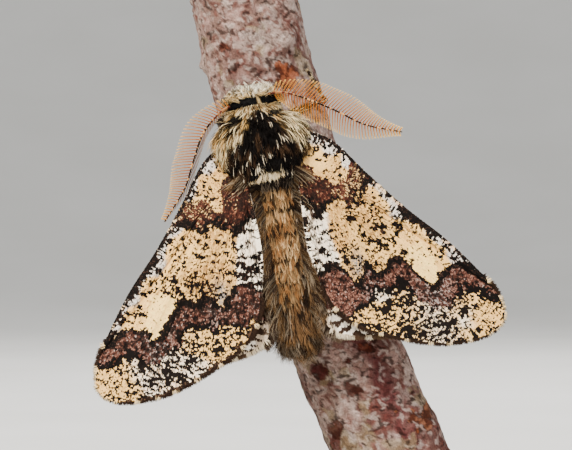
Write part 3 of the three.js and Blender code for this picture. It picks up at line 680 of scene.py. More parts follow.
def hindwing_colour(plan, side, draw):
    seed = {1: 90, -1: 95}[side]
    x, y = plan[..., 0], plan[..., 1]
    p = flat(x, y)
    angle = np.arctan2(x - 1.5, 8.0 - y)
    radius = np.hypot(x - 1.5, 8.0 - y)
    striae = noise(flat(radius, angle * radius * 0.25), 0.24, seed)
    clumps = noise(p, 0.4, seed + 1)
    flecks = 0.6 * noise(p, 0.25, seed + 5) + 0.4 * noise(p, 0.6, seed + 6)
    colour = two_tone("#B9A48C", "#E9DDCB", smooth(noise(p, 1.2, seed + 2), 0.45, 0.65))
    colour = pick(0.7 * striae + 0.3 * clumps > 0.53, linear("#33241B"), colour)
    band = np.abs(y + 7.6 - 0.25 * (x - 2.4)) < 1.5
    colour = pick(band & (clumps > 0.22), two_tone("#4A2C25", "#8C6A60", draw > 0.62), colour)
    return uneven(pick(band & (flecks > 0.56), linear(BLACK), colour), 0.85, 0.3, draw)


def underside_colour(plan, side, draw):
    x, y = plan[..., 0], plan[..., 1]
    colour = two_tone("#B9AC9C", "#7D6C5D", smooth(noise(flat(x, y), 0.35, 140), 0.5, 0.66))
    colour = paint(colour, "#4C3B30", 0.85 * bell(to_line(x, y, POST[side]), 0.5))
    return uneven(colour, 0.85, 0.3, draw)


def wing_uv(plan, upper):
    """The wing's own flat shape, its two faces side by side."""
    u = 0.02 + (plan[..., 0] / 24) * 0.46 + (0.0 if upper else 0.5)
    return np.stack([u, 0.02 + (plan[..., 1] + 16) / 26], -1).reshape(-1, 2)


def membrane(name, wing, colour_of, columns, rows):
    """The wing's thin skin, closed round its edge."""
    shares = np.linspace(0, 1, columns), np.linspace(0.02, 1, rows)
    across, out = np.meshgrid(*shares, indexing="ij")
    centre = wing.surface(across, out)
    half = WING_HALF_THICK * (1 - 0.8 * smooth(out, 0.85, 1.0))[..., None] * UP
    plan = wing.plan(across, out)
    draw = np.full(across.shape, 0.5)
    colours = [colour_of(plan, wing.side, draw) * 0.8, underside_colour(plan, wing.side, draw)]
    faces = grid_faces(columns, rows, False)
    below = columns * rows
    index = np.arange(below).reshape(columns, rows)
    loop = np.concatenate([index[0, :-1], index[:, -1], index[-1, -2::-1], index[-2:0:-1, 0]])
    after = np.roll(loop, -1)
    wall = np.stack([loop, loop + below, after + below, after], -1)
    faces = np.vstack([faces, faces[:, ::-1] + below, wall])
    if wing.side > 0:
        faces = faces[:, ::-1]
    points = np.stack([centre + half, centre - half]).reshape(-1, 3)
    uv = np.vstack([wing_uv(plan, True), wing_uv(plan, False)])
    return make_mesh(name, points, faces, np.stack(colours).reshape(-1, 3), uv)


def scale_places(random, wing, step):
    """Staggered rows of places, as far apart on a short radius as on a long one."""
    spots = []
    middle = wing.root.mean(0)
    reach = np.linalg.norm(wing.rim - middle, axis=1).max()
    ring_shares = np.linspace(0, 1, 400)
    for k in range(int(reach / step[1])):
        out = (k + 0.5) * step[1] / reach
        size = lengths_along(wing.plan(ring_shares, np.full(400, out)))
        count = max(int(size[-1] / step[0]), 3)
        at = (np.arange(count) + 0.5 * (k % 2)) / count * size[-1]
        spots.append([np.interp(at, size, ring_shares), np.full(count, out)])
    across, out = np.hstack(spots)
    local = np.linalg.norm(wing.plan(across, np.ones_like(across)) - middle, axis=1) / reach
    keep = random.random(len(out)) < np.clip(local * 1.15, 0.25, 1)
    across, out = across[keep], out[keep]
    across = np.clip(across + random.normal(0, 0.0012, len(across)), 0.001, 0.999)
    return across, np.clip(out + random.normal(0, 0.004, len(out)), 0.06, 0.992)


SCALE_LIFT = 0.02
SCALE_WIDTHS = np.array([0.7, 0.95])  # at its root and its tip
SCALE_TONES = np.array([0.88, 1.06])


def scales(name, wing, colour_of, step, length, width, seed, upper=True):
    """Overlapping scales, each a small leaf that widens to its tip."""
    random = np.random.default_rng(seed)
    across, out = scale_places(random, wing, step)
    place, normal, outwards = wing.frame_at(across, out)
    plan = wing.plan(across, out)
    count = len(out)
    draw = random.random(count)
    colour = colour_of(plan, wing.side, draw)
    normal = normal if upper else -normal
    turn = random.normal(0, 0.16, count)[:, None]
    lie = unit(outwards + turn * unit(np.cross(normal, outwards)))
    sideways = unit(np.cross(normal, lie))[:, None]
    long = (length * (0.8 + 0.4 * random.random(count)))[:, None, None]
    half = (width / 2 * (0.8 + 0.4 * random.random(count)))[:, None, None]
    base = place + normal * (WING_HALF_THICK + SCALE_LIFT) - lie * long[:, 0] * 0.5
    tilt = (0.05 + 0.08 * random.random(count))[:, None, None]
    ends = np.array([0.0, 1.0])[:, None]
    line = base[:, None] + long * ends * (lie[:, None] + tilt * normal[:, None])
    half = half * SCALE_WIDTHS[:, None] * sideways
    points = np.stack([line + half, line - half], 2).reshape(-1, 3)
    leaf = np.array([0, 1, 3, 2] if upper else [2, 3, 1, 0])
    faces = leaf + 4 * np.arange(count)[:, None]
    colours = (colour[:, None] * np.repeat(SCALE_TONES, 2)[:, None]).reshape(-1, 3)
    patch = np.array([[x, t] for t in (-0.5, 0.5) for x in (0.5, -0.5)])
    uv = (wing_uv(plan, upper)[:, None] + TUFT_PATCH * patch).reshape(-1, 2)
    return make_mesh(name, points, faces, colours, uv, shade_smooth=False)


def fringe(name, wing, first, last, count, length, colour_of, trail, seed):
    """Long scales that stand out past the rim, or trail towards the tail along it."""
    random = np.random.default_rng(seed)
    across = first + (last - first) * random.random(count)
    out = np.full(count, 0.985)
    place, normal, outwards = wing.frame_at(across, out)
    e = 0.004
    run = unit(wing.surface(across + e, out) - wing.surface(across - e, out))
    away = unit(np.cross(run, normal))
    away = away * np.sign((away * outwards).sum(-1, keepdims=True))
    stray = random.normal(0, 0.12 + 0.1 * trail, (count, 3))
    lie = unit(away + 0.25 * outwards - [0, trail, 0] + stray)
    place = place + normal * random.uniform(-0.1, 0.12, count)[:, None]
    base, tip = colour_of(across, random)
    return blades(
        name, place, normal, lie, length * random.uniform(0.7, 1.15, count),
        width=random.uniform(0.07, 0.13, count),
        rise=random.normal(0.02, 0.08, count),
        droop=random.uniform(0, 0.25, count),
        curl=random.normal(0, 0.1, count),
        base=base, tip=tip, uv=wing_uv(wing.plan(across, out), True),
    )


def fore_fringe_colour(across, random):
    """Pale chequers where veins end, and more of them near the apex."""
    near = np.abs(across[:, None] - np.array(FORE_VEINS)).min(-1)
    pale = smooth(0.0036 - near, -0.001, 0.001) * (random.random(len(across)) > 0.2)
    apex = (np.abs(across - 0.465) < 0.03) * (random.random(len(across)) > 0.25)
    pale = np.clip(pale + 0.9 * apex, 0, 1)
    return two_tone("#1A100B", "#E6C48E", pale), two_tone("#36251A", "#F0D6A8", pale)


def hind_fringe_colour(across, random):
    pale = noise(flat(across * 60, 0 * across), 1.0, 77) > 0.55
    pale = pale * (random.random(len(across)) > 0.2)
    return two_tone("#33241A", "#CDB794", pale), two_tone("#5A4330", "#EBDCC0", pale)


def inner_hair_colour(across, random):
    """Brown and grey hairs along the hindwing's inner edge."""
    draw = random.random(len(across))
    return tone("#20160F", across), two_tone("#3A2A1E", "#9C8B76", (draw > 0.6) * draw)


# Body: [along, sideways, height, half width, rise, depth] from head to tail, under the coat
BODY = np.array([
    [12.3, -0.7, -0.4, 0.15, 0.15, 0.15],
    [12.15, -0.7, -0.4, 0.8, 0.6, 0.8],
    [11.7, -0.7, -0.35, 1.55, 1.2, 1.35],
    [11.0, -0.7, -0.3, 1.95, 1.55, 1.65],
    [10.3, -0.7, -0.2, 1.9, 1.6, 1.65],
    [9.7, -0.6, -0.05, 2.1, 1.8, 1.75],
    [9.0, -0.5, 0.1, 3.0, 2.6, 2.4],
    [8.0, -0.45, 0.1, 3.7, 3.1, 2.75],
    [6.7, -0.45, 0.1, 3.95, 3.35, 2.9],
    [5.2, -0.4, 0.1, 3.65, 3.15, 2.8],
    [4.0, -0.2, 0.1, 2.9, 2.6, 2.4],
    [3.0, 0.05, 0.1, 2.15, 2.0, 1.85],
    [1.5, 0.2, 0.1, 1.95, 1.8, 1.7],
    [-1.5, 0.2, 0.0, 1.9, 1.7, 1.7],
    [-5.0, 0.2, -0.15, 1.85, 1.6, 1.6],
    [-8.5, 0.2, -0.35, 1.65, 1.4, 1.5],
    [-10.8, 0.2, -0.5, 1.25, 1.05, 1.1],
    [-11.7, 0.2, -0.55, 0.6, 0.6, 0.6],
    [-11.9, 0.2, -0.55, 0.12, 0.12, 0.12],
])
BODY_LINE = np.linspace(-11.9, 12.3, 800)
BODY_TABLE = at_shares(BODY_LINE, BODY[::-1, 0], BODY[::-1, 1:])
SOFTEN = np.hanning(23) / np.hanning(23).sum()
BODY_PADDED = np.pad(BODY_TABLE, ((11, 11), (0, 0)), mode="edge")
BODY_SOFT = np.stack([np.convolve(column, SOFTEN, "valid") for column in BODY_PADDED.T], -1)
BODY_ROWS = 260
BODY_COLUMNS = 120


def on_body(along, turn, grow=0.0):
    """A place on the body's skin; turn is radians round from the back, to the viewer's right."""
    parts = at_shares(along, BODY_LINE, BODY_SOFT)
    shift, height, half, rise, depth = np.moveaxis(parts, -1, 0)
    c = np.cos(turn)
    up = np.where(c > 0, rise, depth)
    return vectors(shift + (half + grow) * np.sin(turn), along, height + (up + grow) * c)


def body_frame(along, turn):
    """Place and outward normal."""
    e = 0.05
    here = on_body(along, turn)
    lengthwise = on_body(along + e, turn) - on_body(along - e, turn)
    around = on_body(along, turn + e) - on_body(along, turn - e)
    normal = unit(np.cross(around, lengthwise))
    flip = np.sign(((here - on_body(along, turn, -0.1)) * normal).sum(-1, keepdims=True))
    return here, normal * flip


def body_uv(along, turn):
    return 0.02 + 0.96 * np.stack([(turn / FULL_TURN) % 1.0, (along + 14) / 28], -1)


HEAD_BAND_AND_SHADE = 11.08  # height of the head's black band: short black hairs plus painted shade of the gap between the head tuft and the collar
HALF_DARK = ([3.6, 4.6, 5.6, 6.8, 7.8, 9.0, 9.6], [4.4, 4.2, 3.4, 2.6, 1.9, 1.2, 0.3])
HALF_ORANGE = ([-12, -8, -6, -3, 0, 3], [0.6, 1.15, 1.6, 1.85, 1.75, 1.8])
SEGMENT = 2.28


def thorax_colour(x, y, clump, fine, wob, draw):
    """Cream sides, the right-hand one with painted shade, a black middle with brown, a pale tuft at the
    rear.
    """
    cream = two_tone("#DDAE68", "#F4DAA8", draw > 0.55)
    cream = paint(cream, "#5E4428", ((clump > 0.5) & (draw < 0.55)) * 0.85)
    # Painted shade: the cream turns dark brown more often towards the right-hand side, away from the light.
    cream = paint(cream, "#4A3520", (np.maximum(x - 1.2, 0) * 0.3 > draw) * 0.85)
    cream = paint(cream, BLACK, ((fine > 0.57) & (clump < 0.58)) * 0.95)
    dark = two_tone(BLACK, "#3C2A1B", ((clump > 0.5) & (draw > 0.4)) * 0.9)
    dark = paint(dark, "#E3D2B4", ((fine > 0.71) & (draw > 0.5)) * 0.9)
    edge = np.interp(y, *HALF_DARK) - np.abs(x + 0.25 + wob * 0.5) + 0.4 * wob
    colour = mix(cream, dark, smooth(edge, -0.15, 0.15))
    spot = bell(x + 2.6, 0.95) * bell(y - 9.2, 0.5) + bell(x - 1.5, 0.6) * bell(y - 9.3, 0.5)
    colour = paint(colour, BLACK, (spot + 0.5 * (clump - 0.5) > 0.5) * 0.97)
    shoulder = smooth(y, 9.7, 10.1) * (draw > 0.45) * 0.85
    colour = mix(colour, two_tone("#EBD3A2", "#A8824C", fine > 0.5), shoulder)
    tuft_y = 4.05 + 0.16 * (x + 0.6) + 0.3 * wob
    tuft = (np.abs(x + 0.5) < 1.6) & (np.abs(y - tuft_y) < 0.2) & (draw > 0.15)
    colour = mix(colour, two_tone("#F5E4C0", "#C9AC7C", draw), tuft * 0.95)
    behind = smooth(3.7 - y + 0.3 * wob, -0.1, 0.1)
    return mix(colour, two_tone("#1C140E", "#6E5F4E", (draw > 0.62) * draw), behind)


def head_colour(x, y, band_and_shade_y, fine, draw):
    """A pale front, and a black band with a pale gap at its middle; the band is short black hairs plus
    painted shade where the head tuft and the collar part.
    """
    colour = two_tone("#E6C183", "#FFF3D6", smooth(y + 0.8 * draw, 12.0, 12.4))
    colour = paint(colour, "#2B1C12", ((fine > 0.56) & (y < 12.5) & (draw > 0.25)) * 0.9)
    band_and_shade_half = 0.46 * np.sqrt(np.clip(1 - ((x + 0.7) / 3.3) ** 2, 0, 1))
    band = smooth(band_and_shade_half - np.abs(y - band_and_shade_y), -0.05, 0.05)
    gap = smooth(0.12 - np.abs(x + 0.1 + 0.2 * (y - band_and_shade_y)), -0.06, 0.06)
    # Painted shade: the near-black band stands for black hairs and the shaded gap between the head tuft and
    # the collar.
    colour = paint(colour, "#030201", band * (1 - 0.8 * gap))
    back_edge = two_tone("#EBD3A2", "#8A6A42", ((fine > 0.52) & (draw > 0.3)) * 0.9)
    return mix(back_edge, colour, smooth(y, band_and_shade_y - 0.46, band_and_shade_y - 0.4))


def abdomen_colour(p, y, turn, clump, wob, draw):
    """Orange-brown, with black bands at the segments' ends and dark sides."""
    x = p[..., 0]
    grain = noise(p * [1, 0.35, 1], 0.22, 208)
    colour = two_tone("#AA7443", "#DAB581", (draw > 0.4) * draw)
    colour = paint(colour, "#6A4B2C", ((clump > 0.54) & (draw > 0.4)) * 0.7)
    colour = paint(colour, "#1A120C", (grain + 0.2 * (clump - 0.5) > 0.65) * 0.9)
    segment = (y - 0.7 + 0.3 * (noise(p, 0.6, 207) - 0.5) + 0.05 * x**2) / SEGMENT
    ends = bell(segment - np.round(segment), 0.065) * (0.75 + 0.9 * noise(p, 0.9, 204))
    colour = paint(colour, "#0F0A07", np.clip(ends, 0, 1) * (draw < 0.93))
    from_middle = np.abs(x - np.interp(y, [-8, -2], [-0.6, -0.35]))
    sides = smooth(from_middle - np.interp(y, *HALF_ORANGE) + 0.4 * wob, -0.15, 0.2)
    sides = np.maximum(sides, smooth(np.abs(np.sin(turn)), 0.9, 0.98))
    flank = two_tone("#22170F", "#594430", (draw > 0.55) * 0.9)
    colour = mix(colour, paint(flank, "#A8957C", (draw > 0.88) * 0.8), sides)
    colour = paint(colour, "#7F6B53", smooth(np.cos(turn), 0.2, -0.3) * 0.75)
    tail = two_tone("#352619", "#8C6743", ((clump > 0.56) & (draw > 0.4)) * 0.85)
    tail = paint(tail, "#98866F", ((draw > 0.6) & (clump < 0.52)) * 0.85)
    return mix(colour, tail, smooth(-8.4 - y + wob, -0.6, 0.6))


def body_colour(p, turn, draw):
    """Colour of each hair, by the place that it covers."""
    x, y = p[..., 0], p[..., 1]
    clump = noise(p, 0.75, 201)
    fine = noise(p, 0.3, 202)
    wob = 0.9 * (noise(p, 1.1, 203) - 0.5)
    band_and_shade_y = HEAD_BAND_AND_SHADE - 0.035 * (x + 0.2) ** 2
    colour = abdomen_colour(p, y, turn, clump, wob, draw)
    thorax = thorax_colour(x, y, clump, fine, wob, draw)
    colour = mix(colour, thorax, smooth(y, 2.3, 2.6))
    colour = mix(colour, head_colour(x, y, band_and_shade_y, fine, draw), smooth(y - band_and_shade_y, -0.55, -0.45))
    under = smooth(-np.cos(turn), 0.1, 0.5) * smooth(y, 2.6, 3.4)
    return uneven(paint(colour, "#7E6A50", under * 0.85), 0.8, 0.4, draw)


def wisp_colour(p, turn, draw):
    """Long side hairs: dark brown, some of them tawny or grey."""
    colour = two_tone("#33241A", "#80603E", ((draw > 0.45) & (draw < 0.78)) * 0.9)
    return paint(colour, "#A89478", (draw > 0.8) * 0.9)


def body_skin():
    rings = np.linspace(12.28, -11.88, BODY_ROWS)
    turns = np.linspace(0, FULL_TURN, BODY_COLUMNS, endpoint=False)
    along, turn = [a.ravel() for a in np.meshgrid(rings, turns, indexing="ij")]
    points = on_body(along, turn)
    # Painted shade: the skin under the coat takes the fur's colours darkened to 0.45.
    colour = body_colour(points, turn, np.full(len(points), 0.5)) * 0.45
    ends = on_body(np.array([12.34, -11.94]), np.zeros(2))
    ends[:, 2] = [-0.4, -0.55]
    grid = triangles_of(grid_faces(BODY_ROWS, BODY_COLUMNS, True))[:, ::-1]
    faces = np.vstack([grid, end_fans(BODY_ROWS, BODY_COLUMNS)])
    colour = np.vstack([colour, colour[:1], colour[-1:]])
    uv = body_uv(np.append(along, [12.3, -11.9]), np.append(turn, [0, 0]))
    return make_mesh("body_skin", np.vstack([points, ends]), faces, colour, uv)


def spread(random, count, low, high, turn_low, turn_high):
    """Roots spread evenly over a stretch of the body, on both sides where turn_low is above 0."""
    along = np.empty(0)
    turn = np.empty(0)
    half_widths = BODY_SOFT[:, 2]
    while len(along) < count:
        a = random.uniform(low, high, count)
        t = random.uniform(turn_low, turn_high, count)
        if turn_low > 0:
            t = t * random.choice([-1, 1], count)
        girth = np.interp(a, BODY_LINE, half_widths)
        keep = random.random(count) < girth / half_widths.max() + 0.08
        along = np.append(along, a[keep])
        turn = np.append(turn, t[keep])
    return along[:count], turn[:count]


def value_at(value, along, turn):
    """A measure that is one number, or depends on the place."""
    return value(along, turn) if callable(value) else value


def coat(name, count, low, high, turns, seed, length, width, rise, droop, lie_of, colour_of):
    random = np.random.default_rng(seed)
    along, turn = spread(random, count, low, high, *turns)
    root, normal = body_frame(along, turn)
    nearest = leaders(random, root, 0.07)
    draw = random.random(count)
    draw = np.where(random.random(count) < 0.6, draw[nearest], draw)
    lie = lie_of(root, along, turn) + random.normal(0, 0.1, (count, 3))
    lie = lie + random.normal(0, 0.12, (count, 3))[nearest]
    lie = unit(lie - normal * (lie * normal).sum(-1, keepdims=True))
    size = value_at(length, along, turn) * random.uniform(0.75, 1.15, count)
    # A hair takes the colour of the place that its outer part covers
    colour = colour_of(root + lie * (0.6 * size)[:, None], turn, draw)
    tip = colour * random.uniform(1.0, 1.3, count)[:, None]
    height = value_at(rise, along, turn) * random.uniform(0.8, 1.2, count)
    height = height * random.uniform(0.75, 1.25, count)[nearest]
    return blades(
        name, root - normal * 0.06, normal, lie, size,
        width=width * random.uniform(0.7, 1.3, count),
        rise=height,
        droop=droop * random.uniform(0.6, 1.4, count),
        curl=random.normal(0, 0.12, count),
        # Painted shade: each hair's root is darkened to 0.3 of its colour, as shade deep in the coat.
        base=colour * 0.3, tip=tip, uv=body_uv(along, turn),
        pull=(root[nearest] - root) * 0.55,
    )


# The ways that hairs lie: sideways, forwards and up
def thorax_lie(root, along, turn):
    fan = 0.2 + 0.5 * smooth(along, 5.0, 9.0) + 1.0 * smooth(along, 9.3, 10.5)
    return vectors(fan * np.sin(turn), -1, 0.2 * fan * np.cos(turn))


def head_lie(root, along, turn):
    return vectors(np.sin(turn), smooth(along, 10.9, 11.2) * 1.6 - 0.9, 0.3 * np.cos(turn))


def flank_lie(root, along, turn):
    out = 0.68 + 0.5 * (noise(root, 1.2, 220) - 0.5) + 0.35 * smooth(along, 1.0, 3.5)
    return vectors(out * np.sign(turn), -1, 0.15)


def over_lie(root, along, turn):
    out = 0.95 + 0.7 * (noise(root, 1.0, 221) - 0.5) + 0.3 * smooth(along, 1.0, 3.5)
    return vectors(out * np.sign(turn), -1, 0.2)


def neck_lie(root, along, turn):
    return vectors(np.sign(turn), -0.3, 0.1)


def cheek_lie(root, along, turn):
    return vectors(1.1 * np.sign(turn), 0.35 + 0.5 * smooth(along, 11.2, 11.9), 0)


def abdomen_lie(root, along, turn):
    fan = 0.12 + 0.4 * smooth(-along, 7.5, 10.5)
    return vectors(fan * np.sin(turn), -1, 0.15 * fan * np.cos(turn))


def tail_lie(root, along, turn):
    return vectors(np.where(turn < 0, 0.95, 0.75) * np.sign(turn), -1, 0)


# Feelers, as points from the head to the tip
ANTENNA_LEFT = [
    (-2.3, 10.9, 0.7), (-3.6, 10.6, 0.75), (-5.6, 8.9, 0.3), (-7.0, 6.4, -0.45),
    (-8.2, 4.1, -0.95), (-10.5, 1.45, -1.6),
]
ANTENNA_RIGHT = [
    (0.8, 11.5, 0.7), (2.2, 11.4, 0.9), (4.2, 10.5, 1.0), (6.7, 9.0, 0.7),
    (9.2, 7.3, 0.3), (12.45, 6.1, -0.1),
]
SHAFT_STEPS = 241
SHAFT_SIDES = 10
SHAFT_RADIUS = 0.095
RAYS_A_SIDE = 46
RAY_LENGTH = 1.95
RAY_RADIUS = 0.06
RAY_STEPS = 7
RAY_SIDES = 5
RAY_HAIRS = 16


def shaft(line, share):
    """The feeler's shaft: cream at its back, with dark dashes on both sides."""
    points, faces = tube(line, SHAFT_RADIUS * (1.15 - 0.5 * share), SHAFT_SIDES)
    dash = noise(flat(share * 40, 0 * share), 0.62, 300) > 0.3
    dark = two_tone("#B8854C", "#120906", dash)
    dark = paint(dark, "#5A2518", smooth(0.25 - share, 0, 0.1) * 0.6)
    rings = np.repeat(dark[:, None], SHAFT_SIDES, 1)
    facing = np.cos(np.arange(SHAFT_SIDES) / SHAFT_SIDES * FULL_TURN - np.pi / 2)
    on_sides = smooth(np.abs(facing), 0.3, 0.6)[None]
    colour = mix(tone("#E0C398", rings[..., 0]), rings, on_sides)
    return points, faces, colour.reshape(-1, 3)


def ray(here, forward, lie, length, at):
    """One ray of the comb and its fine pale hairs; at is its share of the shaft."""

    def place(s):
        return here + length * (s * lie + 0.1 * s**2 * forward - 0.04 * s**2 * UP)

    s = np.linspace(0, 1, RAY_STEPS)
    points, faces = tube(place(s[:, None]), RAY_RADIUS * (1 - 0.55 * s), RAY_SIDES)
    colour = two_tone("#7A3400", "#A86206", s)
    colour = paint(colour, "#D9A050", smooth(s, 0.88, 1.0))
    colour = paint(colour, "#5E1203", np.full(RAY_STEPS, max(0.0, 0.6 - 1.8 * at)))
    root = place(np.repeat(np.linspace(0.08, 1.0, RAY_HAIRS), 2)[:, None])
    way = np.tile([1.0, -1.0], RAY_HAIRS)[:, None] * forward * 0.1 + lie * 0.06
    wide = 0.024 * lie
    hairs = np.stack([root + wide, root - wide, root + way], 1).reshape(-1, 3)
    hair_faces = 3 * np.arange(2 * RAY_HAIRS)[:, None] + [0, 1, 2, 2]
    hair_colour = tone("#DDB45E", hairs[:, 0])
    return [(points, faces, np.repeat(colour, RAY_SIDES, 0)), (hairs, hair_faces, hair_colour)]


def antenna(name, points, outer_tilt, inner_tilt):
    line = closed_curve(points, SHAFT_STEPS)
    share = np.linspace(0, 1, SHAFT_STEPS)
    parts = [shaft(line, share)]
    for at in np.linspace(0.045, 0.98, RAYS_A_SIDE):
        here = at_shares(at, share, line)
        forward = unit(at_shares(at + 0.01, share, line) - here)
        long = RAY_LENGTH * smooth(at, -0.2, 0.3) * (1 - 0.82 * smooth(at, 0.5, 1.05))
        for hand, degrees, size in ((1, outer_tilt, 1.0), (-1, inner_tilt, 0.95)):
            tilt = math.radians(degrees)
            across = unit(np.cross(UP, forward)) * hand * math.cos(tilt) - UP * math.sin(tilt)
            parts += ray(here, forward, unit(across + 0.32 * forward), long * size, at)
    points, faces, colours = joined(parts)
    return make_mesh(name, points, triangles_of(faces), colours, (points[:, :2] + 16) / 32)


# Legs, as in the part's source: side, where each leaves the body, knee, and ankle and toe as
# places round the twig
LEGS = {
    "leg_fore_left": (-1, 8.7, (-4.0, 9.9, -2.9), (9.3, -58), (11.9, -47)),
    "leg_fore_right": (1, 8.7, (4.2, 9.9, -2.9), (10.3, 58), (13.4, 47)),
    "leg_mid_left": (-1, 6.5, (-5.6, 5.9, -3.3), (4.9, -78), (1.6, -66)),
    "leg_mid_right": (1, 6.5, (5.8, 5.9, -3.0), (4.9, 66), (1.6, 58)),
    "leg_hind_left": (-1, 4.5, (-4.6, 0.4, -3.7), (-3.2, -84), (-7.4, -76)),
    "leg_hind_right": (1, 4.5, (4.8, 0.4, -3.1), (-3.2, 52), (-7.4, 50)),
}
LEG_LIFT = 0.68
LEG_STEPS = 90
LEG_SIDES = 10
LEG_HAIRS = 900
TWIG_RADIUS_TOP = 4.97
TWIG_RADIUS_FOOT = 5.39
TWIG_AXIS = [(9.9, 6.4), (6.3, 15.2), (1.87, 25.5), (-2.15, 38.4), (-6.5, 53.4), (-8.3, 62.0)]
TWIG_FOOT_Z = 9.2
TWIG_DEPTH = -8.9  # of its axis, behind the moth
twig_in_moth = closed_curve([(x, 0, z) for x, z in TWIG_AXIS], 600)
twig_in_moth = (twig_in_moth - MOTH_MIDDLE) @ MOTH_AXES.T


def over_twig(along, turn, lift):
    middle = np.interp(along, twig_in_moth[:, 1], twig_in_moth[:, 0])
    radius = (TWIG_RADIUS_TOP + TWIG_RADIUS_FOOT) / 2 + lift
    a = math.radians(turn)
    return np.array([middle + radius * math.sin(a), along, TWIG_DEPTH + radius * math.cos(a)])


def leg_line(name):
    """Joints and radii from the body to the toe."""
    side, root_along, knee, ankle, toe = LEGS[name]
    root = np.array([side * 1.0 - 0.45, root_along, -1.8])
    knee, ankle, toe = np.array(knee), np.array(ankle), np.array(toe)
    hip = root + (knee - root) * 0.3 - [0, 0, 0.75]
    ankle_point = over_twig(*ankle, LEG_LIFT + 0.15)
    line = [root, hip, (hip + knee) / 2, knee, (knee + ankle_point) / 2, ankle_point]
    for k in range(1, 6):
        line.append(over_twig(*(ankle + (toe - ankle) * k / 5), LEG_LIFT - 0.02 * k))
    return np.array(line), [0.5, 0.5, 0.46, 0.24, 0.27, 0.2, 0.15, 0.13, 0.15, 0.13, 0.15]


def pale_bands(share):
    return (np.sin(share * 46) > 0.7) * smooth(share, 0.45, 0.55)


def leg_fur(name, line, fine, radius, random):
    at = random.uniform(0.02, 0.98, LEG_HAIRS)
    turn = random.uniform(0, FULL_TURN, LEG_HAIRS)
    ahead = unit(at_shares(at + 0.02, fine, line) - at_shares(at - 0.02, fine, line))
    across = unit(np.cross(ahead, UP + [0.01, 0, 0]))
    out = np.cos(turn)[:, None] * across + np.sin(turn)[:, None] * np.cross(across, ahead)
    root = at_shares(at, fine, line) + out * (np.interp(at, fine, radius) * 0.9)[:, None]
    pale = np.clip(pale_bands(at) + (random.random(LEG_HAIRS) > 0.85), 0, 1)
    colour = two_tone("#2A1D14", "#C9B48A", pale)
    length = np.where(at < 0.42, 0.75, 0.34) * random.uniform(0.7, 1.2, LEG_HAIRS)
    return blades(
        name, root, out, ahead, length,
        width=np.full(LEG_HAIRS, 0.07), rise=np.full(LEG_HAIRS, 0.22), droop=np.full(LEG_HAIRS, 0.1),
        curl=random.normal(0, 0.15, LEG_HAIRS),
        # Painted shade: each hair's root is darkened to 0.7 of its colour.
        base=colour * 0.7, tip=colour, uv=np.stack([turn / FULL_TURN, at], -1),
    )


def leg_claws(name, line):
    forward = unit(line[-1] - line[-6])
    side = unit(np.cross(forward, UP))
    s = np.linspace(0, 1, 8)
    t = s[:, None]
    parts = []
    for hand in (-1, 1):
        claw = line[-1] + hand * side * (0.08 + 0.12 * t) + forward * 0.32 * t - UP * 0.26 * t**2
        points, faces = tube(claw, 0.045 * (1 - 0.85 * s), 6)
        parts.append((points, faces, points))
    return make_mesh(name, *joined(parts)[:2])


def leg(name, seed):
    """Leg with short fur, banded dark and pale, and two claws on its toe."""
    random = np.random.default_rng(seed)
    knots, radii = leg_line(name)
    share = np.linspace(0, 1, len(knots))
    fine = np.linspace(0, 1, LEG_STEPS)
    line = at_shares(fine, share, knots)
    radius = np.interp(fine, share, radii)
    points, faces = tube(line, radius, LEG_SIDES)
    colour = np.repeat(two_tone("#1E150F", "#A58C66", pale_bands(fine)), LEG_SIDES, 0)
    turns = np.tile(np.arange(LEG_SIDES) / LEG_SIDES, LEG_STEPS)
    uv = np.stack([turns, np.repeat(fine, LEG_SIDES)], -1)
    skin = make_mesh(name + "_skin", points, faces, colour, uv)
    fur = leg_fur(name + "_fur", line, fine, radius, random)
    return skin, fur, leg_claws(name + "_claws", line)


# Twig. Buds and scars: share of the length, degrees round from the front, size
TWIG_BUMPS = [
    (0.82, -88, 1.0), (0.86, 38, 1.7), (0.93, -40, 0.9), (0.2, 62, 1.2), (0.28, -28, 1.0),
    (0.5, 150, 1.5),
]
# Places, sizes and colours of the scars
SCARS = [
    (-10.9, 0.0, 48.3, 1.0, "#26120C"), (-3.3, -4.4, 50.3, 1.9, "#713B22"),
    (-9.5, -3.9, 53.1, 0.9, "#4A2417"), (-0.6, -4.6, 22.9, 1.4, "#3A1310"),
    (2.9, -5.0, 21.2, 1.2, "#3A1A12"), (6.8, -4.8, 19.1, 0.6, "#5E351F"),
    (9.4, -3.6, 18.6, 1.6, "#6E412A"), (4.0, -5.1, 24.9, 0.8, "#4E2215"),
    (2.4, -4.9, 23.9, 0.9, "#3D1411"), (0.9, -4.0, 17.4, 1.3, "#44251B"),
    (8.9, -4.2, 17.4, 0.6, "#69361F"), (6.2, -5.0, 12.0, 1.3, "#4C281B"),
    (-1.5, 4.8, 34.0, 1.6, "#5A3222"), (-6.0, 4.9, 55.0, 1.2, "#4E2A1A"),
    (5.5, 5.2, 16.0, 1.4, "#5E3620"), (7.2, 1.5, 27.0, 1.2, "#5A2416"),
    (-8.0, 3.0, 43.0, 1.0, "#5A2416"),
]
TWIG_ROWS = 380
TWIG_COLUMNS = 240
END_RINGS = 14


def cracks_near(points):
    """How far the bark's long cracks are, in a noise's own measure."""
    return np.abs(rough(points * [1, 1, 1.5], 1.9, 403, 3) - 0.5)


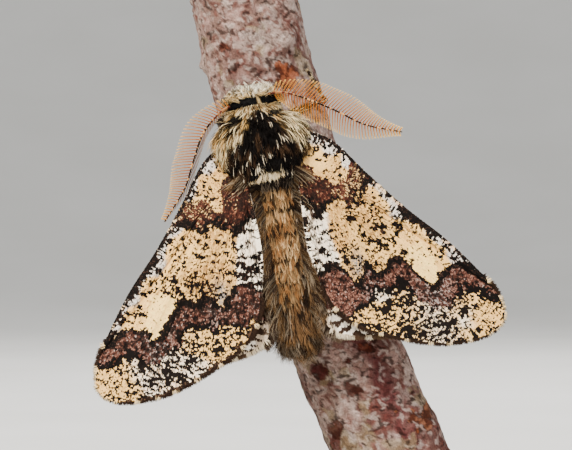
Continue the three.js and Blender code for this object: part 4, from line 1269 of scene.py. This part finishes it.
def twig_piece():
    line = closed_curve([(x, 0, z) for x, z in TWIG_AXIS], TWIG_ROWS)
    along = unit(np.gradient(line, axis=0))
    across = np.array([0.0, 1.0, 0.0])
    third = np.cross(along, across)
    turn = np.arange(TWIG_COLUMNS) / TWIG_COLUMNS * FULL_TURN
    share = np.linspace(0, 1, TWIG_ROWS)
    radius = TWIG_RADIUS_FOOT + (TWIG_RADIUS_TOP - TWIG_RADIUS_FOOT) * share
    ring = np.sin(turn)[None, :, None] * third[:, None] - np.cos(turn)[None, :, None] * across
    base = line[:, None] + radius[:, None, None] * ring
    flakes = rough(base, 2.6, 401, 4)
    grain = rough(base * [1, 1, 0.6], 0.6, 402, 3)
    lift = 0.6 * (flakes - 0.5) + 0.3 * (grain - 0.5) - 0.16 * bell(cracks_near(base), 0.018)
    for at, degrees, size in TWIG_BUMPS:
        a = math.radians(degrees)
        reach = np.interp(at, share, radius)
        centre = at_shares(at, share, line) + np.array([math.sin(a), -math.cos(a), 0]) * reach
        gap = np.linalg.norm(base - centre, axis=-1)
        lift = lift + 0.45 * size * bell(gap, 0.62 * size)
    points = base + (lift - 0.1)[..., None] * ring
    # The ends are cut square, and the foot is level
    points[..., 2] = np.maximum(points[..., 2], TWIG_FOOT_Z)
    middles = [points[0].mean(0), points[-1].mean(0)]
    middles[0][2] = TWIG_FOOT_Z
    inward = np.linspace(0.96, 0.02, END_RINGS)[:, None, None]
    low = middles[0] + (points[0] - middles[0]) * inward[::-1]
    high = middles[1] + (points[-1] - middles[1]) * inward
    colour = twig_colour(points.reshape(-1, 3))
    colour = np.vstack([wood_colour(low, inward[::-1]), colour, wood_colour(high, inward)])
    points = np.concatenate([low, points, high])
    rows = len(points)
    faces = triangles_of(grid_faces(rows, TWIG_COLUMNS, True))
    faces = np.vstack([faces, end_fans(rows, TWIG_COLUMNS)])
    points = np.vstack([points.reshape(-1, 3), middles])
    colour = np.vstack([colour, colour[:1], colour[-1:]])
    return make_mesh("twig_bark", points, faces, colour, in_moth=False)


def wood_colour(points, share):
    """Cut wood with growth rings and a dark edge of bark."""
    share = np.broadcast_to(share[..., 0], points.shape[:2])
    rings = 0.5 + 0.5 * np.sin(share * 30 + 2 * noise(points, 2.0, 430))
    colour = two_tone("#C9A878", "#A9855A", rings * 0.6)
    colour = paint(colour, "#4A2F26", smooth(share, 0.9, 0.95))
    return uneven(colour, 0.85, 0.3, noise(points, 0.3, 431)).reshape(-1, 3)


def twig_colour(points):
    p = points + 0.8 * np.stack([noise(points, 0.7, 420 + k) - 0.5 for k in range(3)], -1)
    x, y, z = p.T
    low = smooth(45 - z, 0, 20)
    # A maroon flush down the right-hand side, lower down
    flush = bell(x - 6.3 + 0.5 * (z - 20), 1.4) * smooth(28 - z, 0, 2) * (y < 0)
    maroon = smooth(rough(p, 2.6, 410, 4) + 0.03 * low + 0.1 * flush, 0.5, 0.62)
    specks = smooth(rough(p, 0.6, 412, 2), 0.5, 0.66)
    pale = smooth(rough(p, 1.3, 411, 3) - 0.15 * flush, 0.54, 0.64)
    powder = smooth(noise(p, 0.42, 416), 0.6, 0.75)
    lichen = smooth(rough(p, 2.0, 413, 3), 0.6, 0.66)
    pits = smooth(rough(p * [1, 1, 1.6], 0.6, 414, 2), 0.61, 0.7)
    layers = [
        ("#866C63", smooth(rough(p, 0.9, 409, 2), 0.42, 0.6) * 0.8),
        ("#3E1D19", maroon * (0.45 + 0.3 * low)),
        ("#4A2119", specks * 0.6),
        ("#96857B", pale * 0.5),
        ("#4A2122", flush * (0.3 + 0.7 * noise(p, 0.9, 417))),
        ("#A4958C", powder * 0.4),
        ("#7E7354", lichen * 0.35),
        ("#180B07", pits * 0.8),
        ("#2A1711", bell(cracks_near(p), 0.01) * 0.6),
    ]
    blur = 2.0 * (rough(points, 1.1, 421, 3) - 0.5) + 0.5 * (noise(points, 0.25, 423) - 0.5)
    split = smooth(rough(points, 0.6, 422, 3), 0.47, 0.55)
    for *place, size, inner in SCARS:
        gap = np.linalg.norm((points - place) * [1, 0.5, 1.4], axis=-1) + size * blur
        layers += [
            (inner, smooth(size * 0.7 - gap, -0.06, 0.1) * 0.9),
            ("#2E120A", split * (gap < size * 0.7) * 0.85),
            ("#1C0C06", bell(gap - size * 0.74, 0.08) * 0.85),
        ]
    colour = tone("#6B534A", x)
    for hex_colour, layer_share in layers:
        colour = paint(colour, hex_colour, layer_share)
    return uneven(colour, 0.72, 0.44, noise(p, 0.33, 415))


# Stand
def lathe(name, profile, sides, x=0.0, y=0.0):
    """A round form from [radius, height] points, turned about an upright axis."""
    radius, height = np.array(profile, float).T[..., None]
    turn = np.arange(sides) / sides * FULL_TURN
    points = vectors(radius * np.cos(turn) + x, radius * np.sin(turn) + y, height).reshape(-1, 3)
    return make_mesh(name, points, grid_faces(len(profile), sides, True), in_moth=False)


def rounded(radius, low, high, edge):
    """Profile of a disc with a rounded top edge and a small one below, closed on its axis."""
    angles = np.linspace(math.pi / 2, 0, 8)
    top = [(radius - edge + edge * math.sin(a), high - edge + edge * math.cos(a)) for a in angles]
    foot = [(0.02, low), (radius - 0.2, low), (radius, low + 0.2)]
    return foot + top + [(radius * 0.5, high), (0.02, high)]


# Lights: place, width, power and colour
AIM = np.array([-0.003, -0.005, 0.036])
LIGHTS = {
    "key": ((-0.24, -0.36, 0.44), 0.26, 10.5, (1.0, 0.96, 0.9)),
    "fill": ((0.42, -0.34, 0.14), 0.4, 2.4, (0.95, 0.97, 1.0)),
    "rear": ((0.1, 0.45, 0.4), 0.35, 3.0, (1.0, 0.98, 0.96)),
}


def studio():
    scene = bpy.context.scene
    world = bpy.data.worlds.new("studio")
    scene.world = world
    world.use_nodes = True
    sky = world.node_tree.nodes["Background"]
    sky.inputs["Color"].default_value = (0.92, 0.94, 0.96, 1)
    sky.inputs["Strength"].default_value = 0.6

    # A round floor, in metres, that curves up into a pale rim far from the model
    profile = [(r, 0.0) for r in (0.001, 0.1, 0.3, 0.6)]
    profile += [(0.65 + math.sin(a), 1.0 - math.cos(a)) for a in np.linspace(0.05, 1.2, 24)]
    floor = lathe("floor", np.array(profile) / MM, 96)
    floor.data.flip_normals()
    floor.data.materials.append(plain_material("pale_floor", "#D9D8D4", "#DEDDDA", 0.8, 60, 0.02))

    for name, (place, size, power, colour) in LIGHTS.items():
        data = bpy.data.lights.new(name, "AREA")
        data.shape = "DISK"
        data.size = size
        data.energy = power
        data.color = colour
        lamp = bpy.data.objects.new(name, data)
        scene.collection.objects.link(lamp)
        lamp.location = place
        lamp.rotation_mode = "QUATERNION"
        lamp.rotation_quaternion = Vector(AIM - place).to_track_quat("-Z", "Y")

    data = bpy.data.cameras.new("camera")
    data.sensor_width = SENSOR
    data.lens = SENSOR * VIEW_DISTANCE / VIEW_WIDTH
    data.clip_start = 0.01
    data.clip_end = 10
    camera = bpy.data.objects.new("camera", data)
    scene.collection.objects.link(camera)
    view_y = MOTH_MIDDLE[1] - VIEW_DISTANCE
    camera.location = (VIEW_MIDDLE[0] * MM, view_y * MM, VIEW_MIDDLE[1] * MM)
    camera.rotation_euler = (math.pi / 2, 0, 0)
    scene.camera = camera


# Scales: spacing, length and width. Hairs: name, first and last share of the rim, count,
# length, colour and how far they trail. Seeds go up by ten from piece to piece.
WINGS = {
    "forewing": dict(
        outline=(FORE_RIM, FORE_ROOT, FORE_VEINS), below=0.0, room=(0.016, 0.012),
        grid=(190, 50), colour=forewing_colour, seed=500,
        upper=((0.078, 0.088), 0.25, 0.125), lower=((0.2, 0.24), 0.42, 0.26),
        hairs=[("fringe", 0.39, 0.82, 2500, 0.6, fore_fringe_colour, 0.0)],
    ),
    "hindwing": dict(
        outline=(HIND_RIM, HIND_ROOT, HIND_VEINS), below=1.05, room=(0.03, 0.0),
        grid=(140, 40), colour=hindwing_colour, seed=530,
        upper=((0.12, 0.14), 0.3, 0.16), lower=((0.22, 0.26), 0.42, 0.26),
        hairs=[
            ("fringe", 0.36, 0.7, 1700, 0.7, hind_fringe_colour, 0.0),
            ("hair", 0.69, 0.93, 2000, 1.15, inner_hair_colour, 0.8),
        ],
    ),
}


def build_wings():
    scale_look = marked_material("wing_scales", 0.62, 0.09, 0.07, 0.25)
    skin_look = marked_material("wing_membrane", 0.6, 0.2, 0.12, 0.3)
    hair_look = marked_material("wing_hair", 0.6, 0.1, 0.1, 0.2)
    for hand, side in SIDES.items():
        for slot, made in WINGS.items():
            room, more_room = made["room"]
            wing = Wing(*made["outline"], side, made["below"], room + more_room * side)
            colour = made["colour"]
            seed = made["seed"] + side
            skin = membrane(f"{slot}_membrane_{hand}", wing, colour, *made["grid"])
            dress(skin, slot, skin_look, f"{slot}_{hand}")
            top = scales(f"{slot}_scales_{hand}", wing, colour, *made["upper"], seed)
            dress(top, slot, scale_look)
            name = f"{slot}_underscales_{hand}"
            low = scales(name, wing, underside_colour, *made["lower"], seed + 10, upper=False)
            dress(low, slot, scale_look)
            for k, (part, *shape) in enumerate(made["hairs"]):
                hairs = fringe(f"{slot}_{part}_{hand}", wing, *shape, seed + 20 + 10 * k)
                dress(hairs, slot, hair_look)


ALL_ROUND = (0, FULL_TURN)
# Name, slot, count, first and last place along the body, turns, seed, length, width, rise,
# droop, lie and colour
FUR = [
    ("thorax_fur", "thorax_fur", 11000, 3.0, 10.3, ALL_ROUND, 600,
     lambda a, t: 1.35 + 0.6 * np.sin(t) ** 2 + 0.3 * smooth(a, 9.2, 10.2), 0.09,
     lambda a, t: 0.6 + 0.3 * smooth(a, 5, 9), 0.6, thorax_lie, body_colour),
    ("collar", "head_fur", 3300, 9.9, 10.75, (-1.9, 1.9), 604,
     lambda a, t: 1.0 + 0.75 * np.abs(np.sin(t)), 0.075, 0.75, 0.7, thorax_lie, body_colour),
    ("head_fur", "head_fur", 5000, 10.7, 12.28, ALL_ROUND, 601,
     lambda a, t: (0.4 + 0.75 * smooth(a, 11.1, 11.6)) * (1 + 0.6 * np.sin(t) ** 2), 0.07,
     0.55, 0.3, head_lie, body_colour),
    ("abdomen_fur", "abdomen_fur", 11000, -11.0, 3.4, ALL_ROUND, 602,
     lambda a, t: 1.15 + 0.5 * smooth(np.abs(np.sin(t)), 0.5, 1) + 0.3 * smooth(-a, 6, 9), 0.07,
     0.5, 0.4, abdomen_lie, body_colour),
    ("cheek_fur", "head_fur", 2500, 10.4, 11.95, (0.6, 1.75), 606, 1.45, 0.07, 0.75, 0.6,
     cheek_lie, body_colour),
    ("neck_fur", "head_fur", 2200, 9.5, 10.9, (0.7, 1.7), 607, 1.75, 0.07, 0.5, 0.3,
     neck_lie, body_colour),
    ("rear_tuft", "thorax_fur", 900, 4.3, 4.62, (-0.75, 0.6), 611, 0.75, 0.08, 1.7, 0.2,
     thorax_lie, body_colour),
    ("side_hair", "abdomen_fur", 6800, -9.5, 4.8, (0.7, 1.35), 605, 2.2, 0.055, 0.95, 0.35,
     flank_lie, wisp_colour),
    ("over_hair", "abdomen_fur", 6000, -8.5, 4.8, (0.68, 1.02), 609, 2.2, 0.05, 1.3, 0.45,
     over_lie, wisp_colour),
    ("tail_tuft", "abdomen_fur", 3900, -11.85, -8.2, ALL_ROUND, 603, 2.3, 0.07, 0.5, 0.35,
     abdomen_lie, body_colour),
    ("tail_sides", "abdomen_fur", 3600, -11.6, -7.2, (0.7, 1.8), 608,
     lambda a, t: 2.5 + 0.5 * (np.sin(t) < 0), 0.06, 0.6, 0.3, tail_lie, body_colour),
]


def build_body():
    skin_look = marked_material("body_skin", 0.7, 0.2, 0.15, 0.3)
    fur_look = marked_material("fur", 0.55, 0.12, 0.12, 0.2)
    dress(body_skin(), "thorax_fur", skin_look, "thorax", "head", "abdomen")
    for name, slot, *rest in FUR:
        dress(coat(name, *rest), slot, fur_look)


def build_feelers():
    look = marked_material("feeler", 0.5, 0.15, 0.1, 0.15)
    dress(antenna("feeler_left", ANTENNA_LEFT, 76, 5), "antenna", look, "antenna_left")
    dress(antenna("feeler_right", ANTENNA_RIGHT, 5, 5), "antenna", look, "antenna_right")


def build_eyes():
    look = plain_material("eye", "#1B130E", "#2C2018", 0.36, 0.12, 0.5, shine=0.4)
    rows, columns, radius = 40, 72, 0.84
    angles = np.linspace(0.001, np.pi - 0.001, rows), np.arange(columns) / columns * FULL_TURN
    lat, lon = np.meshgrid(*angles, indexing="ij")
    ball = vectors(np.sin(lat) * np.cos(lon), np.sin(lat) * np.sin(lon), np.cos(lat))
    ball = uneven(ball, 1, 0.006, np.cos(lat * 46) * np.cos(lon * 24)).reshape(-1, 3)
    for hand, side in SIDES.items():
        centre = np.array([-0.7 + side * 2.0, 11.2, -0.5])
        points = centre + radius * ball
        piece = make_mesh(f"eyeball_{hand}", points, grid_faces(rows, columns, True))
        dress(piece, "eye", look, f"eye_{hand}")


def build_legs():
    skin_look = marked_material("leg_skin", 0.6, 0.15, 0.15, 0.3)
    fur_look = marked_material("leg_fur", 0.6, 0.1, 0.12, 0.2)
    claw_look = plain_material("claw", "#2A1A10", "#4A2E1A", 0.3, 0.2, 0.2)
    for k, name in enumerate(LEGS):
        skin, hair, claw = leg(name, 700 + k)
        dress(skin, "leg", skin_look, name)
        dress(hair, "leg", fur_look)
        dress(claw, "leg", claw_look)


ROD_HIDDEN = 0.28  # at each end, inside the base and the twig


def build_perch():
    bark = marked_material("bark", 0.78, 0.16, 0.32, 0.7)
    dress(twig_piece(), "bark", bark, "perch_twig")
    low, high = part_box("stand_base")
    low, high = low / MM, high / MM
    base = lathe("stand_disc", rounded((high.x - low.x) / 2, low.z, high.z, 0.6), 160)
    paint_look = plain_material("base_paint", "#2C2A28", "#383532", 0.45, 0.8, 0.15)
    dress(base, "stand_base", paint_look, "stand_base")
    low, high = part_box("stand_rod")
    low, high = low / MM, high / MM
    radius = (high.x - low.x) / 2
    foot, top = low.z - ROD_HIDDEN, high.z + ROD_HIDDEN
    profile = [(0.02, foot), (radius, foot), (radius, top), (0.02, top)]
    rod = lathe("stand_stem", profile, 64, (low.x + high.x) / 2, (low.y + high.y) / 2)
    steel = plain_material("steel", "#B8B6B2", "#A9A7A3", 0.32, 0.3, 0.1, metallic=1.0)
    dress(rod, "stand_rod", steel, "stand_rod")


studio()
build_wings()
build_body()
build_feelers()
build_eyes()
build_legs()
build_perch()
